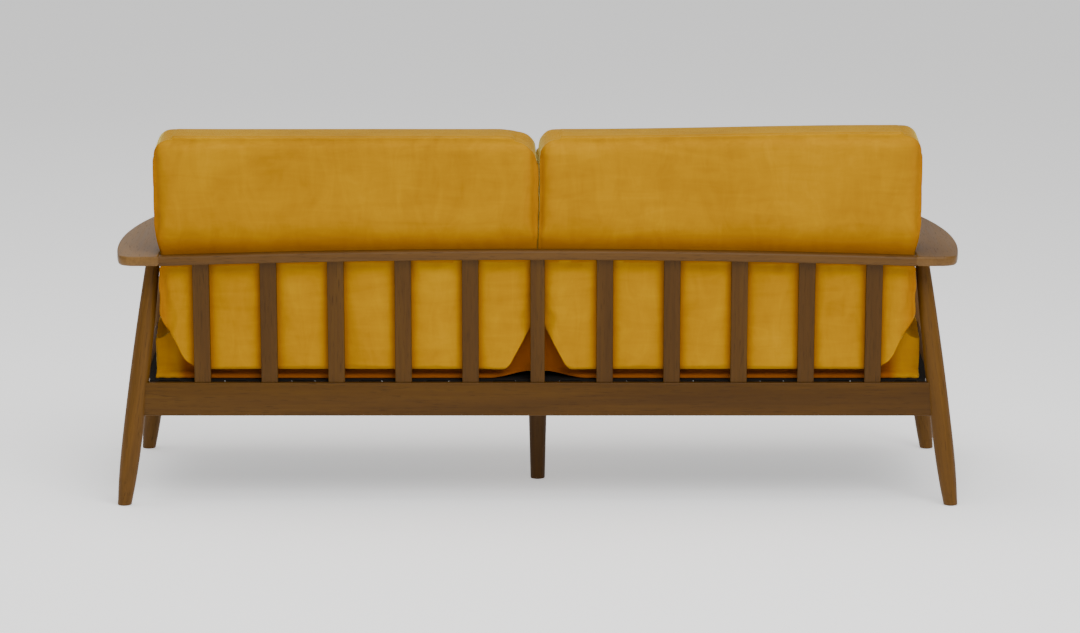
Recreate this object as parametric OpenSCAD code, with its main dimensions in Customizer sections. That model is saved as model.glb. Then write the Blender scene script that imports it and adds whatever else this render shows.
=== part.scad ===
// Three-seat sofa with a turned-leg timber frame, a slatted back and four loose cushions.
// Millimetres, +Z up, the seat faces -Y. The origin is on the floor under the middle of the sofa.
// Left is -X and right is +X, as seen by someone who stands in front and looks at the seat.

/* [Overall size] */
// Width over the outsides of the feet
foot_width = 1880; // [1560:10:2250]
// Depth over the outsides of the feet
foot_depth = 734; // [700:2:880]
// Height of the top of the arms
arm_height = 569; // [540:1:700]
// Height of the top of the rear seat rail
seat_rail_height = 276; // [230:1:330]

/* [Legs] */
// Diameter of a corner leg at the floor
leg_foot_d = 30; // [26:1:36]
// Diameter of a corner leg at its belly
leg_belly_d = 45; // [40:1:54]
// Diameter of a corner leg under the arm
leg_top_d = 31; // [26:1:37]
// Height of the belly above the floor
leg_belly_height = 205; // [170:1:240]
// Sideways splay of the corner legs, in degrees
leg_splay = 7; // [2:0.5:9]
// Fore-and-aft rake of the corner legs, in degrees
leg_rake = 5; // [1:0.5:7]
// Diameter of the round tenon on top of a corner leg
leg_tenon_d = 20; // [16:1:24]
// Length of that tenon
leg_tenon_l = 14; // [8:1:18]
// Diameter of the centre leg where it meets the bearer
centre_leg_top_d = 45; // [38:1:54]
// Diameter of the centre leg at the floor
centre_leg_foot_d = 33; // [24:1:37]
// How far the centre leg stands behind the middle of the feet
centre_leg_back = 32; // [0:2:80]
// Diameter of the glide under each foot
glide_d = 20; // [14:1:22]
// How far each glide stands below the timber
glide_proud = 1; // [0.5:0.5:2]

/* [Seat frame] */
// Height of the boards of the seat frame
rail_height = 75; // [65:1:90]
// Thickness of the boards of the seat frame
rail_thickness = 24; // [20:1:26]
// Backward slope of the seat, in degrees
seat_slope = 3; // [0:0.5:4]
// Diameter of the glued dowels
dowel_d = 8; // [6:1:10]
// Length of the glued dowels
dowel_l = 40; // [30:1:44]
// Width of the bearer under the middle of the seat
bearer_width = 70; // [60:1:90]
// Thickness of that bearer
bearer_thickness = 25; // [20:1:30]
// Height of a corner block
block_height = 34; // [26:1:45]
// Length of the face of a corner block along a rail
block_face = 42; // [34:1:60]

/* [Seat platform] */
// Width of a webbing strap
strap_width = 50; // [40:1:60]
// Thickness of a webbing strap
strap_thickness = 2; // [1.5:0.1:3]
// Thickness of the deck cloth over the webbing
cloth_thickness = 1; // [0.6:0.1:1.5]
// Thickness of a webbing clip
clip_thickness = 3; // [2:0.5:4]
// Depth of a webbing clip in its slot
clip_depth = 10; // [8:1:16]

/* [Back and arms] */
// Backward lean of the slats, in degrees
back_recline = 9; // [5:0.5:12]
// Width of a back slat
slat_width = 37; // [30:1:45]
// Width of the middle back slat
middle_slat_width = 32; // [26:1:45]
// Thickness of a back slat
slat_thickness = 16; // [14:1:18]
// Length of a slat tenon
slat_tenon_l = 12; // [8:1:14]
// Gap from an arm's inner edge to the middle of the outermost slat
slat_end_gap = 91; // [70:1:120]
// Thickness of the arms and of the crest rail
arm_thickness = 22; // [20:1:28]
// Width of an arm at its widest
arm_width = 107; // [90:1:130]
// Distance from the rear end of an arm to its widest point
arm_widest_at = 264; // [180:2:320]
// Radius of the outer edge of an arm, in plan
arm_edge_r = 1810; // [1600:10:2600]
// How far the tip of an arm runs past the front leg's top
arm_tip_overhang = 60; // [40:1:90]
// Depth of the crest rail at its underside
crest_depth = 38; // [34:1:50]
// How far the crest rail arches up in the middle
crest_rise = 14; // [4:1:24]

/* [Cushions] */
// Depth of a seat cushion, front to back
seat_cushion_depth = 660; // [600:5:720]
// Thickness of a seat cushion
seat_cushion_thickness = 115; // [90:1:150]
// Room behind a seat cushion that the back cushion tucks into
tuck_gap = 38; // [30:1:50]
// Length of the back cushions along the slats, from the rear rail up
back_cushion_height = 549; // [480:1:620]
// Thickness of a back cushion
back_cushion_thickness = 160; // [120:1:190]
// Height of the back cushions' tucked edge above the rear rail
tuck_bottom = 25; // [15:1:40]
// How far a back cushion spreads over each arm
cushion_spread = 14; // [0:1:24]
// Radius of the back cushions' lower corners
lower_corner_r = 82; // [40:1:100]
// Radius of the back cushions' upper corners
upper_corner_r = 42; // [20:1:60]
// Thickness of the velvet cover and its lining
cover_thickness = 2; // [1:0.5:3]
// Length of a cushion zip
zip_length = 560; // [300:10:640]
// Width of a cushion zip
zip_width = 8; // [6:1:10]

/* [Hidden] */

$fn = 48;
LEFT = -1;
RIGHT = 1;
FRONT = -1;
REAR = 1;

walnut = "#6e4a28";
dark_walnut = "#5a3b20";
beech = "#c9a877";
velvet = "#b98a1c";
foam = "#efe6c8";
black_cloth = "#1c1b1a";
zinc = "#a8abad";
black_nylon = "#232323";

// Small clearances and the fixed details of the hardware
touch = 0.3;               // air between a cushion and what it rests on or leans against
cut = 1;                   // how far a cutter runs past the face that it opens
housing = 2.5;             // how far a rail's corner edge is let into a round leg
glide_seat = 3;            // depth of a glide's recess in the foot
bearer_housing = 8;        // how far the bearer is let into each rail
arm_margin = 3.5;          // arm's inner edge beyond the inner side of the leg under it
slat_shoulder = 4;         // shoulder on each side of a slat tenon
slat_count = 11;
middle_slat = 6;
strap_count = slat_count + 1;
cushion_side_gap = 2;
block_setback = 46;        // corner block's distance from the corner of the frame
screw_d = 5;
screw_head_d = 9;
screw_head_l = 3;
screw_grip = 20;           // timber under the head of a block screw
screw_bite = 15;           // screw's hold in the rail
plate_d = 58;
plate_thickness = 3;
bolt_d = 8;
bolt_in_leg = 38;
bolt_in_bearer = 18;

// Heights
arm_bottom = arm_height - arm_thickness;
rail_bottom = seat_rail_height - rail_height;
rail_middle = seat_rail_height - rail_height / 2;

// The axis of a corner leg, as its distance from the middle of the feet at height z
function leg_x(z) = foot_width / 2 - leg_foot_d / 2 - tan(leg_splay) * z;
function leg_y(z) = foot_depth / 2 - leg_foot_d / 2 - tan(leg_rake) * z;
leg_lean = atan(norm([tan(leg_splay), tan(leg_rake)]));

// Radius of a corner leg at height z: a cubic swell up from the foot, a quadratic one under the arm
function leg_r(z) =
    z < leg_belly_height
        ? leg_belly_d / 2 - (leg_belly_d - leg_foot_d) / 2 * pow(min(1, 1 - z / leg_belly_height), 3)
        : leg_belly_d / 2 - (leg_belly_d - leg_top_d) / 2
            * pow((z - leg_belly_height) / (arm_bottom - leg_belly_height), 2);

// Seat frame: the rear rail stands under the slats, and the front rail is as much higher as the seat slopes
rail_setback = rail_thickness / 2 + housing;
rear_rail_y = leg_y(rail_middle);
seat_origin = [rear_rail_y + rail_thickness / 2, seat_rail_height];
front_rail_y = -leg_y(rail_middle + (2 * rear_rail_y) * tan(seat_slope));
front_rail_top = seat_rail_height
    + (seat_origin[0] - front_rail_y - rail_thickness / 2) * tan(seat_slope);
front_rail_bottom = front_rail_top - rail_height;

// A point of the seat plane's own frame, d forward of the rear rail and h above the plane, as [y, z]
function seat_point(d, h) = [
    seat_origin[0] - d * cos(seat_slope) + h * sin(seat_slope),
    seat_origin[1] + d * sin(seat_slope) + h * cos(seat_slope)
];

// The plane of the slats' front faces, as its y at height z
back_foot_y = rear_rail_y - slat_thickness / 2 / cos(back_recline);
function back_y(z) = back_foot_y + (z - seat_rail_height) * tan(back_recline);

// Arms and crest rail
arm_inner = leg_x(arm_bottom) - leg_top_d / 2 - arm_margin;
arm_outer = arm_inner + arm_width;
crest_rear = back_y(arm_bottom) + crest_depth;
arm_tip = -(leg_y(arm_bottom) + arm_tip_overhang);
slat_pitch = 2 * (arm_inner - slat_end_gap) / (slat_count - 1);
function slat_x(i) = (i - middle_slat) * slat_pitch;
function slat_w(i) = i == middle_slat ? middle_slat_width : slat_width;
function crest_lift(x) = crest_rise * (1 - pow(x / arm_inner, 2));

// Seat platform: straps from clip to clip, with the cloth on them
strap_pitch = slat_pitch;
strap_first = -strap_pitch * (strap_count - 1) / 2;
rear_clip_d = rail_thickness - clip_thickness - 5;
front_clip_d = (seat_origin[0] - front_rail_y - rail_thickness / 2 + 5) / cos(seat_slope);
platform_top = strap_thickness + cloth_thickness;

// Cushions
seat_rear_d = seat_origin[0] - back_foot_y + tuck_gap;
seat_front_d = seat_rear_d + seat_cushion_depth;
seat_low = platform_top + touch;
seat_high = seat_low + seat_cushion_thickness;
seat_front_top = seat_point(seat_front_d, seat_high)[1];
seat_side = leg_x(seat_front_top) - leg_r(seat_front_top) / cos(leg_splay) - cushion_side_gap;
back_side = arm_inner - cushion_side_gap - touch;
tuck_low = seat_rail_height + tuck_bottom;

// The whole sofa is moved so that its bounding box is centred on the origin
back_top_rear = back_foot_y - touch + back_cushion_height * sin(back_recline);
rear_most = max(crest_rear, back_top_rear, leg_y(0) + leg_foot_d / 2);
front_most = min(arm_tip, seat_point(seat_front_d, seat_low)[0], -leg_y(0) - leg_foot_d / 2);
centre_shift = -(rear_most + front_most) / 2;

module placed() { translate([0, centre_shift, 0]) children(); }

// ---------------------------------------------------------------- placing

// Puts z along the axis of a corner leg, from the middle of its foot
module on_leg(side, end) {
    translate([side * leg_x(0), end * leg_y(0), 0])
        rotate([0, 0, atan2(-end * tan(leg_rake), -side * tan(leg_splay))])
            rotate([0, leg_lean, 0])
                children();
}

// Puts y-z in the leaning plane of a side frame, with x across it
module on_side(side) {
    translate([side * leg_x(0), 0, 0]) rotate([0, -side * leg_splay, 0]) children();
}

// Puts x-y in the seat plane, with -y forward from the rear rail
module on_seat() {
    translate([0, seat_origin[0], seat_origin[1]]) rotate([-seat_slope, 0, 0]) children();
}

// A y-z outline made into a slab from x0 to x1
module slab(x0, x1) {
    translate([x0, 0, 0]) rotate([90, 0, 90]) linear_extrude(x1 - x0) children();
}

// An x-z outline made into a board from y0 to y1
module board(y0, y1) {
    translate([0, y1, 0]) rotate([90, 0, 0]) linear_extrude(y1 - y0) children();
}

// ---------------------------------------------------------------- legs

leg_steps = 22;
module turned_leg() {
    length = arm_bottom / cos(leg_lean);
    rotate_extrude($fn = 64)
        polygon([
            [0, -leg_foot_d],
            [leg_r(0), -leg_foot_d],
            for (i = [0 : leg_steps])
                let (z = arm_bottom * i / leg_steps) [leg_r(z), length * i / leg_steps],
            [leg_top_d / 2, length + leg_top_d],
            [0, length + leg_top_d]
        ]);
}

module leg_tenon(side, end) {
    top = arm_bottom / cos(leg_lean);
    on_leg(side, end)
        translate([0, 0, top - leg_top_d / 2])
            cylinder(d = leg_tenon_d, h = leg_top_d / 2 + leg_tenon_l);
}

module glide(x, y) {
    translate([x, y, 0]) cylinder(d = glide_d, h = glide_proud + glide_seat);
}

module corner_leg(side, end) {
    color(walnut) difference() {
        union() {
            intersection() {
                on_leg(side, end) turned_leg();
                translate([-foot_width, -foot_depth, glide_proud])
                    cube([2 * foot_width, 2 * foot_depth, arm_bottom - glide_proud]);
            }
            leg_tenon(side, end);
        }
        if (end == REAR) rear_rail_blank();
        else front_rail_blank();
        side_rail_blank(side);
        leg_dowels(side, end);
        glide(side * leg_x(0), end * leg_y(0));
    }
}

bearer_top = seat_rail_height - 12;
bearer_bottom = bearer_top - bearer_thickness;
centre_leg_height = bearer_bottom - plate_thickness;

module centre_leg() {
    color(dark_walnut) difference() {
        translate([0, centre_leg_back, glide_proud])
            cylinder(d1 = centre_leg_foot_d, d2 = centre_leg_top_d, h = centre_leg_height - glide_proud, $fn = 64);
        glide(0, centre_leg_back);
        centre_bolt();
    }
}

module centre_leg_plate() {
    color(zinc) difference() {
        translate([0, centre_leg_back, centre_leg_height])
            cylinder(d = plate_d, h = plate_thickness, $fn = 64);
        centre_bolt();
    }
}

module centre_bolt() {
    translate([0, centre_leg_back, centre_leg_height - bolt_in_leg])
        cylinder(d = bolt_d, h = bolt_in_leg + plate_thickness + bolt_in_bearer);
}

module centre_leg_bolt() { color(zinc) centre_bolt(); }

module foot_glides() {
    color(black_nylon) {
        for (side = [LEFT, RIGHT], end = [FRONT, REAR])
            glide(side * leg_x(0), end * leg_y(0));
        glide(0, centre_leg_back);
    }
}

// ---------------------------------------------------------------- seat frame

// A board across the sofa between two round legs, with its ends cut to their lean
module cross_rail_blank(y, low, high) {
    board(y - rail_thickness / 2, y + rail_thickness / 2)
        polygon([
            [-leg_x(low) + rail_setback, low],
            [leg_x(low) - rail_setback, low],
            [leg_x(high) - rail_setback, high],
            [-leg_x(high) + rail_setback, high]
        ]);
}

module rear_rail_blank() { cross_rail_blank(rear_rail_y, rail_bottom, seat_rail_height); }

module front_rail_blank() { cross_rail_blank(front_rail_y, front_rail_bottom, front_rail_top); }

// A board along one side, in the leaning plane of its two legs
module side_rail_blank(side) {
    reach = 1 / cos(leg_splay);
    on_side(side)
        slab(-rail_thickness / 2, rail_thickness / 2)
            polygon([
                [leg_y(rail_bottom) - rail_setback, rail_bottom * reach],
                [leg_y(seat_rail_height) - rail_setback, seat_rail_height * reach],
                [-leg_y(front_rail_top) + rail_setback, front_rail_top * reach],
                [-leg_y(front_rail_bottom) + rail_setback, front_rail_bottom * reach]
            ]);
}

// Two dowels from a cross rail into a leg, and two from the side rail, at heights that miss each other
module leg_dowels(side, end) {
    low = end == REAR ? rail_bottom : front_rail_bottom;
    y = end == REAR ? rear_rail_y : front_rail_y;
    middle = low + rail_height / 2;
    for (s = [-1, 1]) {
        cross_z = middle + s * rail_height * 0.32;
        side_z = middle + s * rail_height * 0.13;
        translate([side * (leg_x(cross_z) - rail_setback), y, cross_z])
            rotate([0, 90, 0]) cylinder(d = dowel_d, h = dowel_l, center = true);
        on_side(side)
            translate([0, end * (leg_y(side_z) - rail_setback), side_z / cos(leg_splay)])
                rotate([90, 0, 0]) cylinder(d = dowel_d, h = dowel_l, center = true);
    }
}

module rail_dowels() {
    color(beech) for (side = [LEFT, RIGHT], end = [FRONT, REAR]) leg_dowels(side, end);
}

module rear_seat_rail() {
    color(walnut) difference() {
        rear_rail_blank();
        for (i = [1 : slat_count]) slat_tenon(i);
        rear_clips();
        bearer_blank();
        for (side = [LEFT, RIGHT]) {
            leg_dowels(side, REAR);
            block_screws(side, REAR);
        }
    }
}

module front_seat_rail() {
    color(walnut) difference() {
        front_rail_blank();
        front_clips();
        bearer_blank();
        for (side = [LEFT, RIGHT]) {
            leg_dowels(side, FRONT);
            block_screws(side, FRONT);
        }
    }
}

module side_rail(side) {
    color(walnut) difference() {
        side_rail_blank(side);
        for (end = [FRONT, REAR]) {
            leg_dowels(side, end);
            block_screws(side, end);
        }
    }
}

module bearer_blank() {
    y0 = front_rail_y + rail_thickness / 2 - bearer_housing;
    y1 = rear_rail_y - rail_thickness / 2 + bearer_housing;
    translate([-bearer_width / 2, y0, bearer_bottom])
        cube([bearer_width, y1 - y0, bearer_thickness]);
}

module centre_bearer() {
    color(beech) difference() {
        bearer_blank();
        centre_bolt();
    }
}

// The corner that the inner faces of two rails make, and the middle height of the block there
function corner_x(z) = leg_x(z) - rail_thickness / 2 / cos(leg_splay);
function corner_y(end) = (end == REAR ? rear_rail_y : -front_rail_y) - rail_thickness / 2;
function block_z(end) = (end == REAR ? rail_bottom : front_rail_bottom) + rail_height / 2;

module corner_block(side, end) {
    z = block_z(end);
    far = block_setback + block_face;
    color(beech) difference() {
        translate([side * corner_x(z), end * corner_y(end), z - block_height / 2])
            linear_extrude(block_height)
                polygon([
                    [-side * far, 0],
                    [-side * block_setback, 0],
                    [0, -end * block_setback],
                    [side * rail_thickness / 2, -end * block_setback],
                    [side * rail_thickness / 2, -end * far],
                    [0, -end * far]
                ]);
        side_rail_blank(side);
        block_screws(side, end);
        screw_access(side, end);
    }
}

// A screw through a block into each of its two rails
module block_screws(side, end) {
    z = block_z(end);
    at = block_setback + block_face * 0.3;
    translate([side * (corner_x(z) - at), end * (corner_y(end) - screw_grip), z])
        rotate([-end * 90, 0, 0]) screw();
    translate([side * (corner_x(z) - screw_grip), end * (corner_y(end) - at), z])
        rotate([0, side * 90, 0]) screw();
}

module screw() {
    translate([0, 0, -screw_head_l]) cylinder(d = screw_head_d, h = screw_head_l);
    cylinder(d = screw_d, h = screw_grip + screw_bite);
}

// The counterbore that a screw's head goes in by
module screw_access(side, end) {
    z = block_z(end);
    at = block_setback + block_face * 0.3;
    translate([side * (corner_x(z) - at), end * (corner_y(end) - screw_grip), z])
        rotate([end * 90, 0, 0]) cylinder(d = screw_head_d, h = block_face);
    translate([side * (corner_x(z) - screw_grip), end * (corner_y(end) - at), z])
        rotate([0, -side * 90, 0]) cylinder(d = screw_head_d, h = block_face);
}

module corner_blocks() { for (side = [LEFT, RIGHT], end = [FRONT, REAR]) corner_block(side, end); }

module corner_block_screws() {
    color(zinc) for (side = [LEFT, RIGHT], end = [FRONT, REAR]) block_screws(side, end);
}

// ---------------------------------------------------------------- back

// One slat's outline from the side, between two heights, with its faces moved in by trim
module slat_outline(low, high, trim = 0) {
    across = slat_thickness / cos(back_recline);
    polygon([
        [back_y(low) + trim, low],
        [back_y(low) + across - trim, low],
        [back_y(high) + across - trim, high],
        [back_y(high) + trim, high]
    ]);
}

module slat_tenon(i) {
    half = slat_w(i) / 2 - slat_shoulder;
    slab(slat_x(i) - half, slat_x(i) + half)
        slat_outline(seat_rail_height - slat_tenon_l,
                     arm_bottom + crest_lift(slat_x(i)) + slat_tenon_l, slat_shoulder);
}

module back_slat(i) {
    color(walnut) {
        difference() {
            slab(slat_x(i) - slat_w(i) / 2, slat_x(i) + slat_w(i) / 2)
                slat_outline(seat_rail_height, arm_height);
            crest_arch(back_y(arm_bottom) - slat_thickness, crest_rear + cut);
        }
        slat_tenon(i);
    }
}

crest_steps = 24;
function crest_edge(z) = [
    for (i = [0 : crest_steps]) let (x = arm_inner * (2 * i / crest_steps - 1)) [x, z + crest_lift(x)]
];
function reversed(list) = [for (i = [len(list) - 1 : -1 : 0]) list[i]];

module crest_arch(y0, y1) {
    board(y0, y1) polygon(concat(crest_edge(arm_bottom), reversed(crest_edge(arm_height))));
}

// An arched board whose front face lies in the plane of the slats' front faces
module crest_blank() {
    top = arm_height + crest_rise + cut;
    intersection() {
        crest_arch(back_y(arm_bottom) - cut, crest_rear);
        slab(-arm_inner - cut, arm_inner + cut)
            polygon([
                [back_y(arm_bottom - cut), arm_bottom - cut],
                [crest_rear + cut, arm_bottom - cut],
                [crest_rear + cut, top],
                [back_y(top), top]
            ]);
    }
}

module crest_dowel_pair(side) {
    middle = (back_y(arm_height) + crest_rear) / 2;
    for (s = [-1, 1])
        translate([side * arm_inner, middle + s * crest_depth / 4, (arm_bottom + arm_height) / 2])
            rotate([0, 90, 0]) cylinder(d = dowel_d, h = dowel_l, center = true);
}

module crest_rail() {
    color(walnut) difference() {
        crest_blank();
        for (i = [1 : slat_count]) slat_tenon(i);
        for (side = [LEFT, RIGHT]) crest_dowel_pair(side);
    }
}

module crest_dowels() { color(beech) for (side = [LEFT, RIGHT]) crest_dowel_pair(side); }

// ---------------------------------------------------------------- arms

// The arc that rounds corner b of the outline a-b-c to radius r
fillet_steps = 8;
function fillet(a, b, c, r) =
    let (
        u = (a - b) / norm(a - b),
        v = (c - b) / norm(c - b),
        half = acos(u * v) / 2,
        middle = b + (u + v) / norm(u + v) * r / sin(half),
        from = b + u * r / tan(half) - middle,
        to = b + v * r / tan(half) - middle,
        start = atan2(from[1], from[0]),
        turn = atan2(from[0] * to[1] - from[1] * to[0], from * to)
    )
    [for (i = [0 : fillet_steps])
        let (angle = start + turn * i / fillet_steps) middle + r * [cos(angle), sin(angle)]];

arm_steps = 16;
rear_corner_r = 30;
tip_corner_r = 17;
function arm_edge(y) = arm_outer - pow(y - (crest_rear - arm_widest_at), 2) / (2 * arm_edge_r);

function arm_outline() =
    let (
        y0 = arm_tip + 2 * tip_corner_r,
        y1 = crest_rear - 2 * rear_corner_r,
        edge = [for (i = [0 : arm_steps]) let (y = y1 + (y0 - y1) * i / arm_steps) [arm_edge(y), y]],
        rear_inner = [arm_inner, crest_rear],
        rear_outer = [arm_edge(crest_rear), crest_rear],
        tip_outer = [arm_edge(arm_tip), arm_tip],
        tip_inner = [arm_inner, arm_tip]
    )
    concat(
        [rear_inner],
        fillet(rear_inner, rear_outer, edge[0], rear_corner_r),
        edge,
        fillet(edge[arm_steps], tip_outer, tip_inner, tip_corner_r),
        fillet(tip_outer, tip_inner, rear_inner, tip_corner_r)
    );

module arm(side) {
    color(walnut) difference() {
        translate([0, 0, arm_bottom])
            linear_extrude(arm_thickness)
                polygon([for (p = arm_outline()) [side * p[0], p[1]]]);
        for (end = [FRONT, REAR]) leg_tenon(side, end);
        crest_dowel_pair(side);
    }
}

// ---------------------------------------------------------------- seat platform

module seat_webbing() {
    color(black_cloth) on_seat()
        for (i = [0 : strap_count - 1])
            translate([strap_first + i * strap_pitch - strap_width / 2, -front_clip_d, 0])
                cube([strap_width, front_clip_d - rear_clip_d - clip_thickness, strap_thickness]);
}

// One row of clips, pressed into slots in the top of a rail
module clip_row(d) {
    on_seat()
        for (i = [0 : strap_count - 1])
            translate([strap_first + i * strap_pitch - strap_width / 2, -d - clip_thickness, -clip_depth])
                cube([strap_width, clip_thickness, clip_depth + strap_thickness]);
}

module rear_clips() { clip_row(rear_clip_d); }

module front_clips() { clip_row(front_clip_d); }

module webbing_clips() {
    color(zinc) {
        rear_clips();
        front_clips();
    }
}

// A cloth on the webbing, cut away at the corners round the legs
module deck_cloth() {
    half = corner_x(front_rail_top) - 4;
    near = seat_origin[0] - back_foot_y + cloth_thickness;
    far = front_clip_d + clip_thickness + 3;
    notch = leg_belly_d;
    color(black_cloth) on_seat()
        translate([0, 0, strap_thickness])
            linear_extrude(cloth_thickness)
                polygon([
                    [-half + notch, -far], [half - notch, -far],
                    [half - notch, -far + notch], [half, -far + notch],
                    [half, -near - notch], [half - notch, -near - notch],
                    [half - notch, -near], [-half + notch, -near],
                    [-half + notch, -near - notch], [-half, -near - notch],
                    [-half, -far + notch], [-half + notch, -far + notch]
                ]);
}

// ---------------------------------------------------------------- cushions

// One seat cushion, with every face moved in by inset
module seat_body(side, inset = 0) {
    x0 = touch + inset;
    x1 = seat_side - inset;
    on_seat()
        translate([side > 0 ? x0 : -x1, -seat_front_d + inset, seat_low + inset])
            cube([x1 - x0, seat_cushion_depth - 2 * inset, seat_cushion_thickness - 2 * inset]);
}

// The zip fills a slot through the cover in the middle of the rear boxing
module seat_zip_body(side) {
    middle = (touch + seat_side) / 2;
    on_seat()
        translate([side * middle - zip_length / 2, -seat_rear_d - cover_thickness,
                   (seat_low + seat_high - zip_width) / 2])
            cube([zip_length, cover_thickness, zip_width]);
}

module seat_cushion(side) {
    color(velvet) difference() {
        seat_body(side);
        seat_body(side, cover_thickness);
        seat_zip_body(side);
    }
}

module seat_foam(side) { color(foam) seat_body(side, cover_thickness); }

module seat_zip(side) { color(black_nylon) seat_zip_body(side); }

// The outline of a back cushion from the side: it leans on the slats, rests on the seat
// cushion, and its rear edge tucks down behind it. Every face is moved in by inset.
function back_outline(inset) =
    let (
        along = [sin(back_recline), cos(back_recline)],
        forward = [-cos(back_recline), sin(back_recline)],
        foot = [back_foot_y, seat_rail_height] + forward * touch,
        rise = back_cushion_height - inset,
        low = tuck_low + inset,
        tuck_d = seat_rear_d - touch - inset,
        rest = seat_high + touch + inset,
        tuck_h = (low - seat_point(tuck_d, 0)[1]) / cos(seat_slope),
        reach = (back_cushion_thickness + touch - inset) / cos(back_recline),
        slope = tan(back_recline),
        plane = seat_point(0, rest),
        front_d = (plane[0] - back_y(plane[1]) + reach) / (cos(seat_slope) + slope * sin(seat_slope))
    )
    [
        [back_y(low) - (touch + inset) / cos(back_recline), low],
        seat_point(tuck_d, tuck_h),
        seat_point(tuck_d, rest),
        seat_point(front_d, rest),
        foot + along * rise + forward * (back_cushion_thickness - inset),
        foot + along * rise + forward * inset
    ];

// A board with four round corners, seen from the front, with its edges moved in by inset
module rounded_front(x0, x1, z0, z1, r_low, r_high) {
    translate([x0 + r_low, z0]) square([x1 - x0 - 2 * r_low, r_low]);
    translate([x0, z0 + r_low]) square([x1 - x0, z1 - z0 - r_low - r_high]);
    translate([x0 + r_high, z1 - r_high]) square([x1 - x0 - 2 * r_high, r_high]);
    for (x = [x0 + r_low, x1 - r_low]) translate([x, z0 + r_low]) circle(r = r_low, $fn = 96);
    for (x = [x0 + r_high, x1 - r_high]) translate([x, z1 - r_high]) circle(r = r_high, $fn = 64);
}

module back_body(side, inset = 0) {
    x0 = touch + inset;
    x1 = back_side - inset;
    x2 = back_side + cushion_spread - inset;
    top = seat_rail_height + back_cushion_height * cos(back_recline)
        + back_cushion_thickness * sin(back_recline) - inset;
    outline = back_outline(inset);
    ends = side > 0 ? [x0, x1, x2] : [-x1, -x0, -x2];
    intersection() {
        slab(side > 0 ? x0 : -x2, side > 0 ? x2 : -x0) polygon(outline);
        board(-foot_depth, foot_depth) {
            rounded_front(ends[0], ends[1], tuck_low + inset, top, lower_corner_r, upper_corner_r);
            over = arm_height + touch + cushion_side_gap + inset;
            rounded_front(min(side * x0, side * x2), max(side * x0, side * x2), over, top, 1, upper_corner_r);
        }
    }
}

// The zip fills a slot through the cover in the face that rests on the seat cushion
module back_zip_body(side) {
    middle = (touch + back_side) / 2;
    on_seat()
        translate([side * middle - zip_length / 2, -seat_rear_d - back_cushion_thickness / 2,
                   seat_high + touch])
            cube([zip_length, zip_width, cover_thickness]);
}

module back_cushion(side) {
    color(velvet) difference() {
        back_body(side);
        back_body(side, cover_thickness);
        back_zip_body(side);
    }
}

module back_foam(side) { color(foam) back_body(side, cover_thickness); }

module back_zip(side) { color(black_nylon) back_zip_body(side); }

// ---------------------------------------------------------------- nodes

placed() {
    corner_leg(LEFT, REAR);  // rear_leg_left
    corner_leg(RIGHT, REAR);  // rear_leg_right
    corner_leg(LEFT, FRONT);  // front_leg_left
    corner_leg(RIGHT, FRONT);  // front_leg_right
    centre_leg();
    centre_leg_plate();
    centre_leg_bolt();
    foot_glides();
    arm(LEFT);  // arm_left
    arm(RIGHT);  // arm_right
    crest_rail();
    crest_dowels();
    rear_seat_rail();
    front_seat_rail();
    side_rail(LEFT);  // side_rail_left
    side_rail(RIGHT);  // side_rail_right
    rail_dowels();
    centre_bearer();
    corner_blocks();
    corner_block_screws();
    for (i = [1 : slat_count])
        back_slat(i);
    seat_webbing();
    webbing_clips();
    deck_cloth();
    seat_cushion(LEFT);  // seat_cushion_left
    seat_cushion(RIGHT);  // seat_cushion_right
    seat_foam(LEFT);  // seat_foam_left
    seat_foam(RIGHT);  // seat_foam_right
    seat_zip(LEFT);  // seat_zip_left
    seat_zip(RIGHT);  // seat_zip_right
    back_cushion(LEFT);  // back_cushion_left
    back_cushion(RIGHT);  // back_cushion_right
    back_foam(LEFT);  // back_foam_left
    back_foam(RIGHT);  // back_foam_right
    back_zip(LEFT);  // back_zip_left
    back_zip(RIGHT);  // back_zip_right
}
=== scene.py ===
"""Long open-frame sofa: turned walnut legs, paddle arms, a slatted back and four velvet cushions.

Everything is in metres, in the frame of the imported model: +Z up, the seat faces -Y and left is -X.
"""

import logging
import math
from dataclasses import dataclass
from enum import Enum
from typing import Any, ClassVar, Iterable, Optional, Sequence, Union

import bmesh
import bpy
import numpy as np
from mathutils import Matrix, Vector
from mathutils.bvhtree import BVHTree


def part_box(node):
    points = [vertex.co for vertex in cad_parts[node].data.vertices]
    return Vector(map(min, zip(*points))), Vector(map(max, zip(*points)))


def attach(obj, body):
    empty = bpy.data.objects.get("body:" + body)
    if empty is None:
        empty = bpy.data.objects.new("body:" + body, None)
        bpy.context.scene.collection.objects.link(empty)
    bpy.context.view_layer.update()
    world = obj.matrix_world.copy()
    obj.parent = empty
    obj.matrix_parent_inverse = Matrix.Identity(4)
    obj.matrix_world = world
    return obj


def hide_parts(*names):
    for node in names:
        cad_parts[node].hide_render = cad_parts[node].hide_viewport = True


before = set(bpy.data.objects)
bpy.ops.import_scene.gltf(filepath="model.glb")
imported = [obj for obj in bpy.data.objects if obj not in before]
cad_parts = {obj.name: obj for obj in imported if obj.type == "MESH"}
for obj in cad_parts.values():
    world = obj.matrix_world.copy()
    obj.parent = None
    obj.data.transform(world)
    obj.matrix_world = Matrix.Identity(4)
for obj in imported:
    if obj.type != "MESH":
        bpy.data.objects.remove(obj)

LOG = logging.getLogger("sofa")
Colour = tuple[float, float, float]

# Points that are nearer than CLOSE count as level; TINY keeps a division off zero.
CLOSE = 1e-5
TINY = 1e-6
# Beyond this many softnesses from a limit, a value isn't pressed at all.
FAR_OFF = 30
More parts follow.
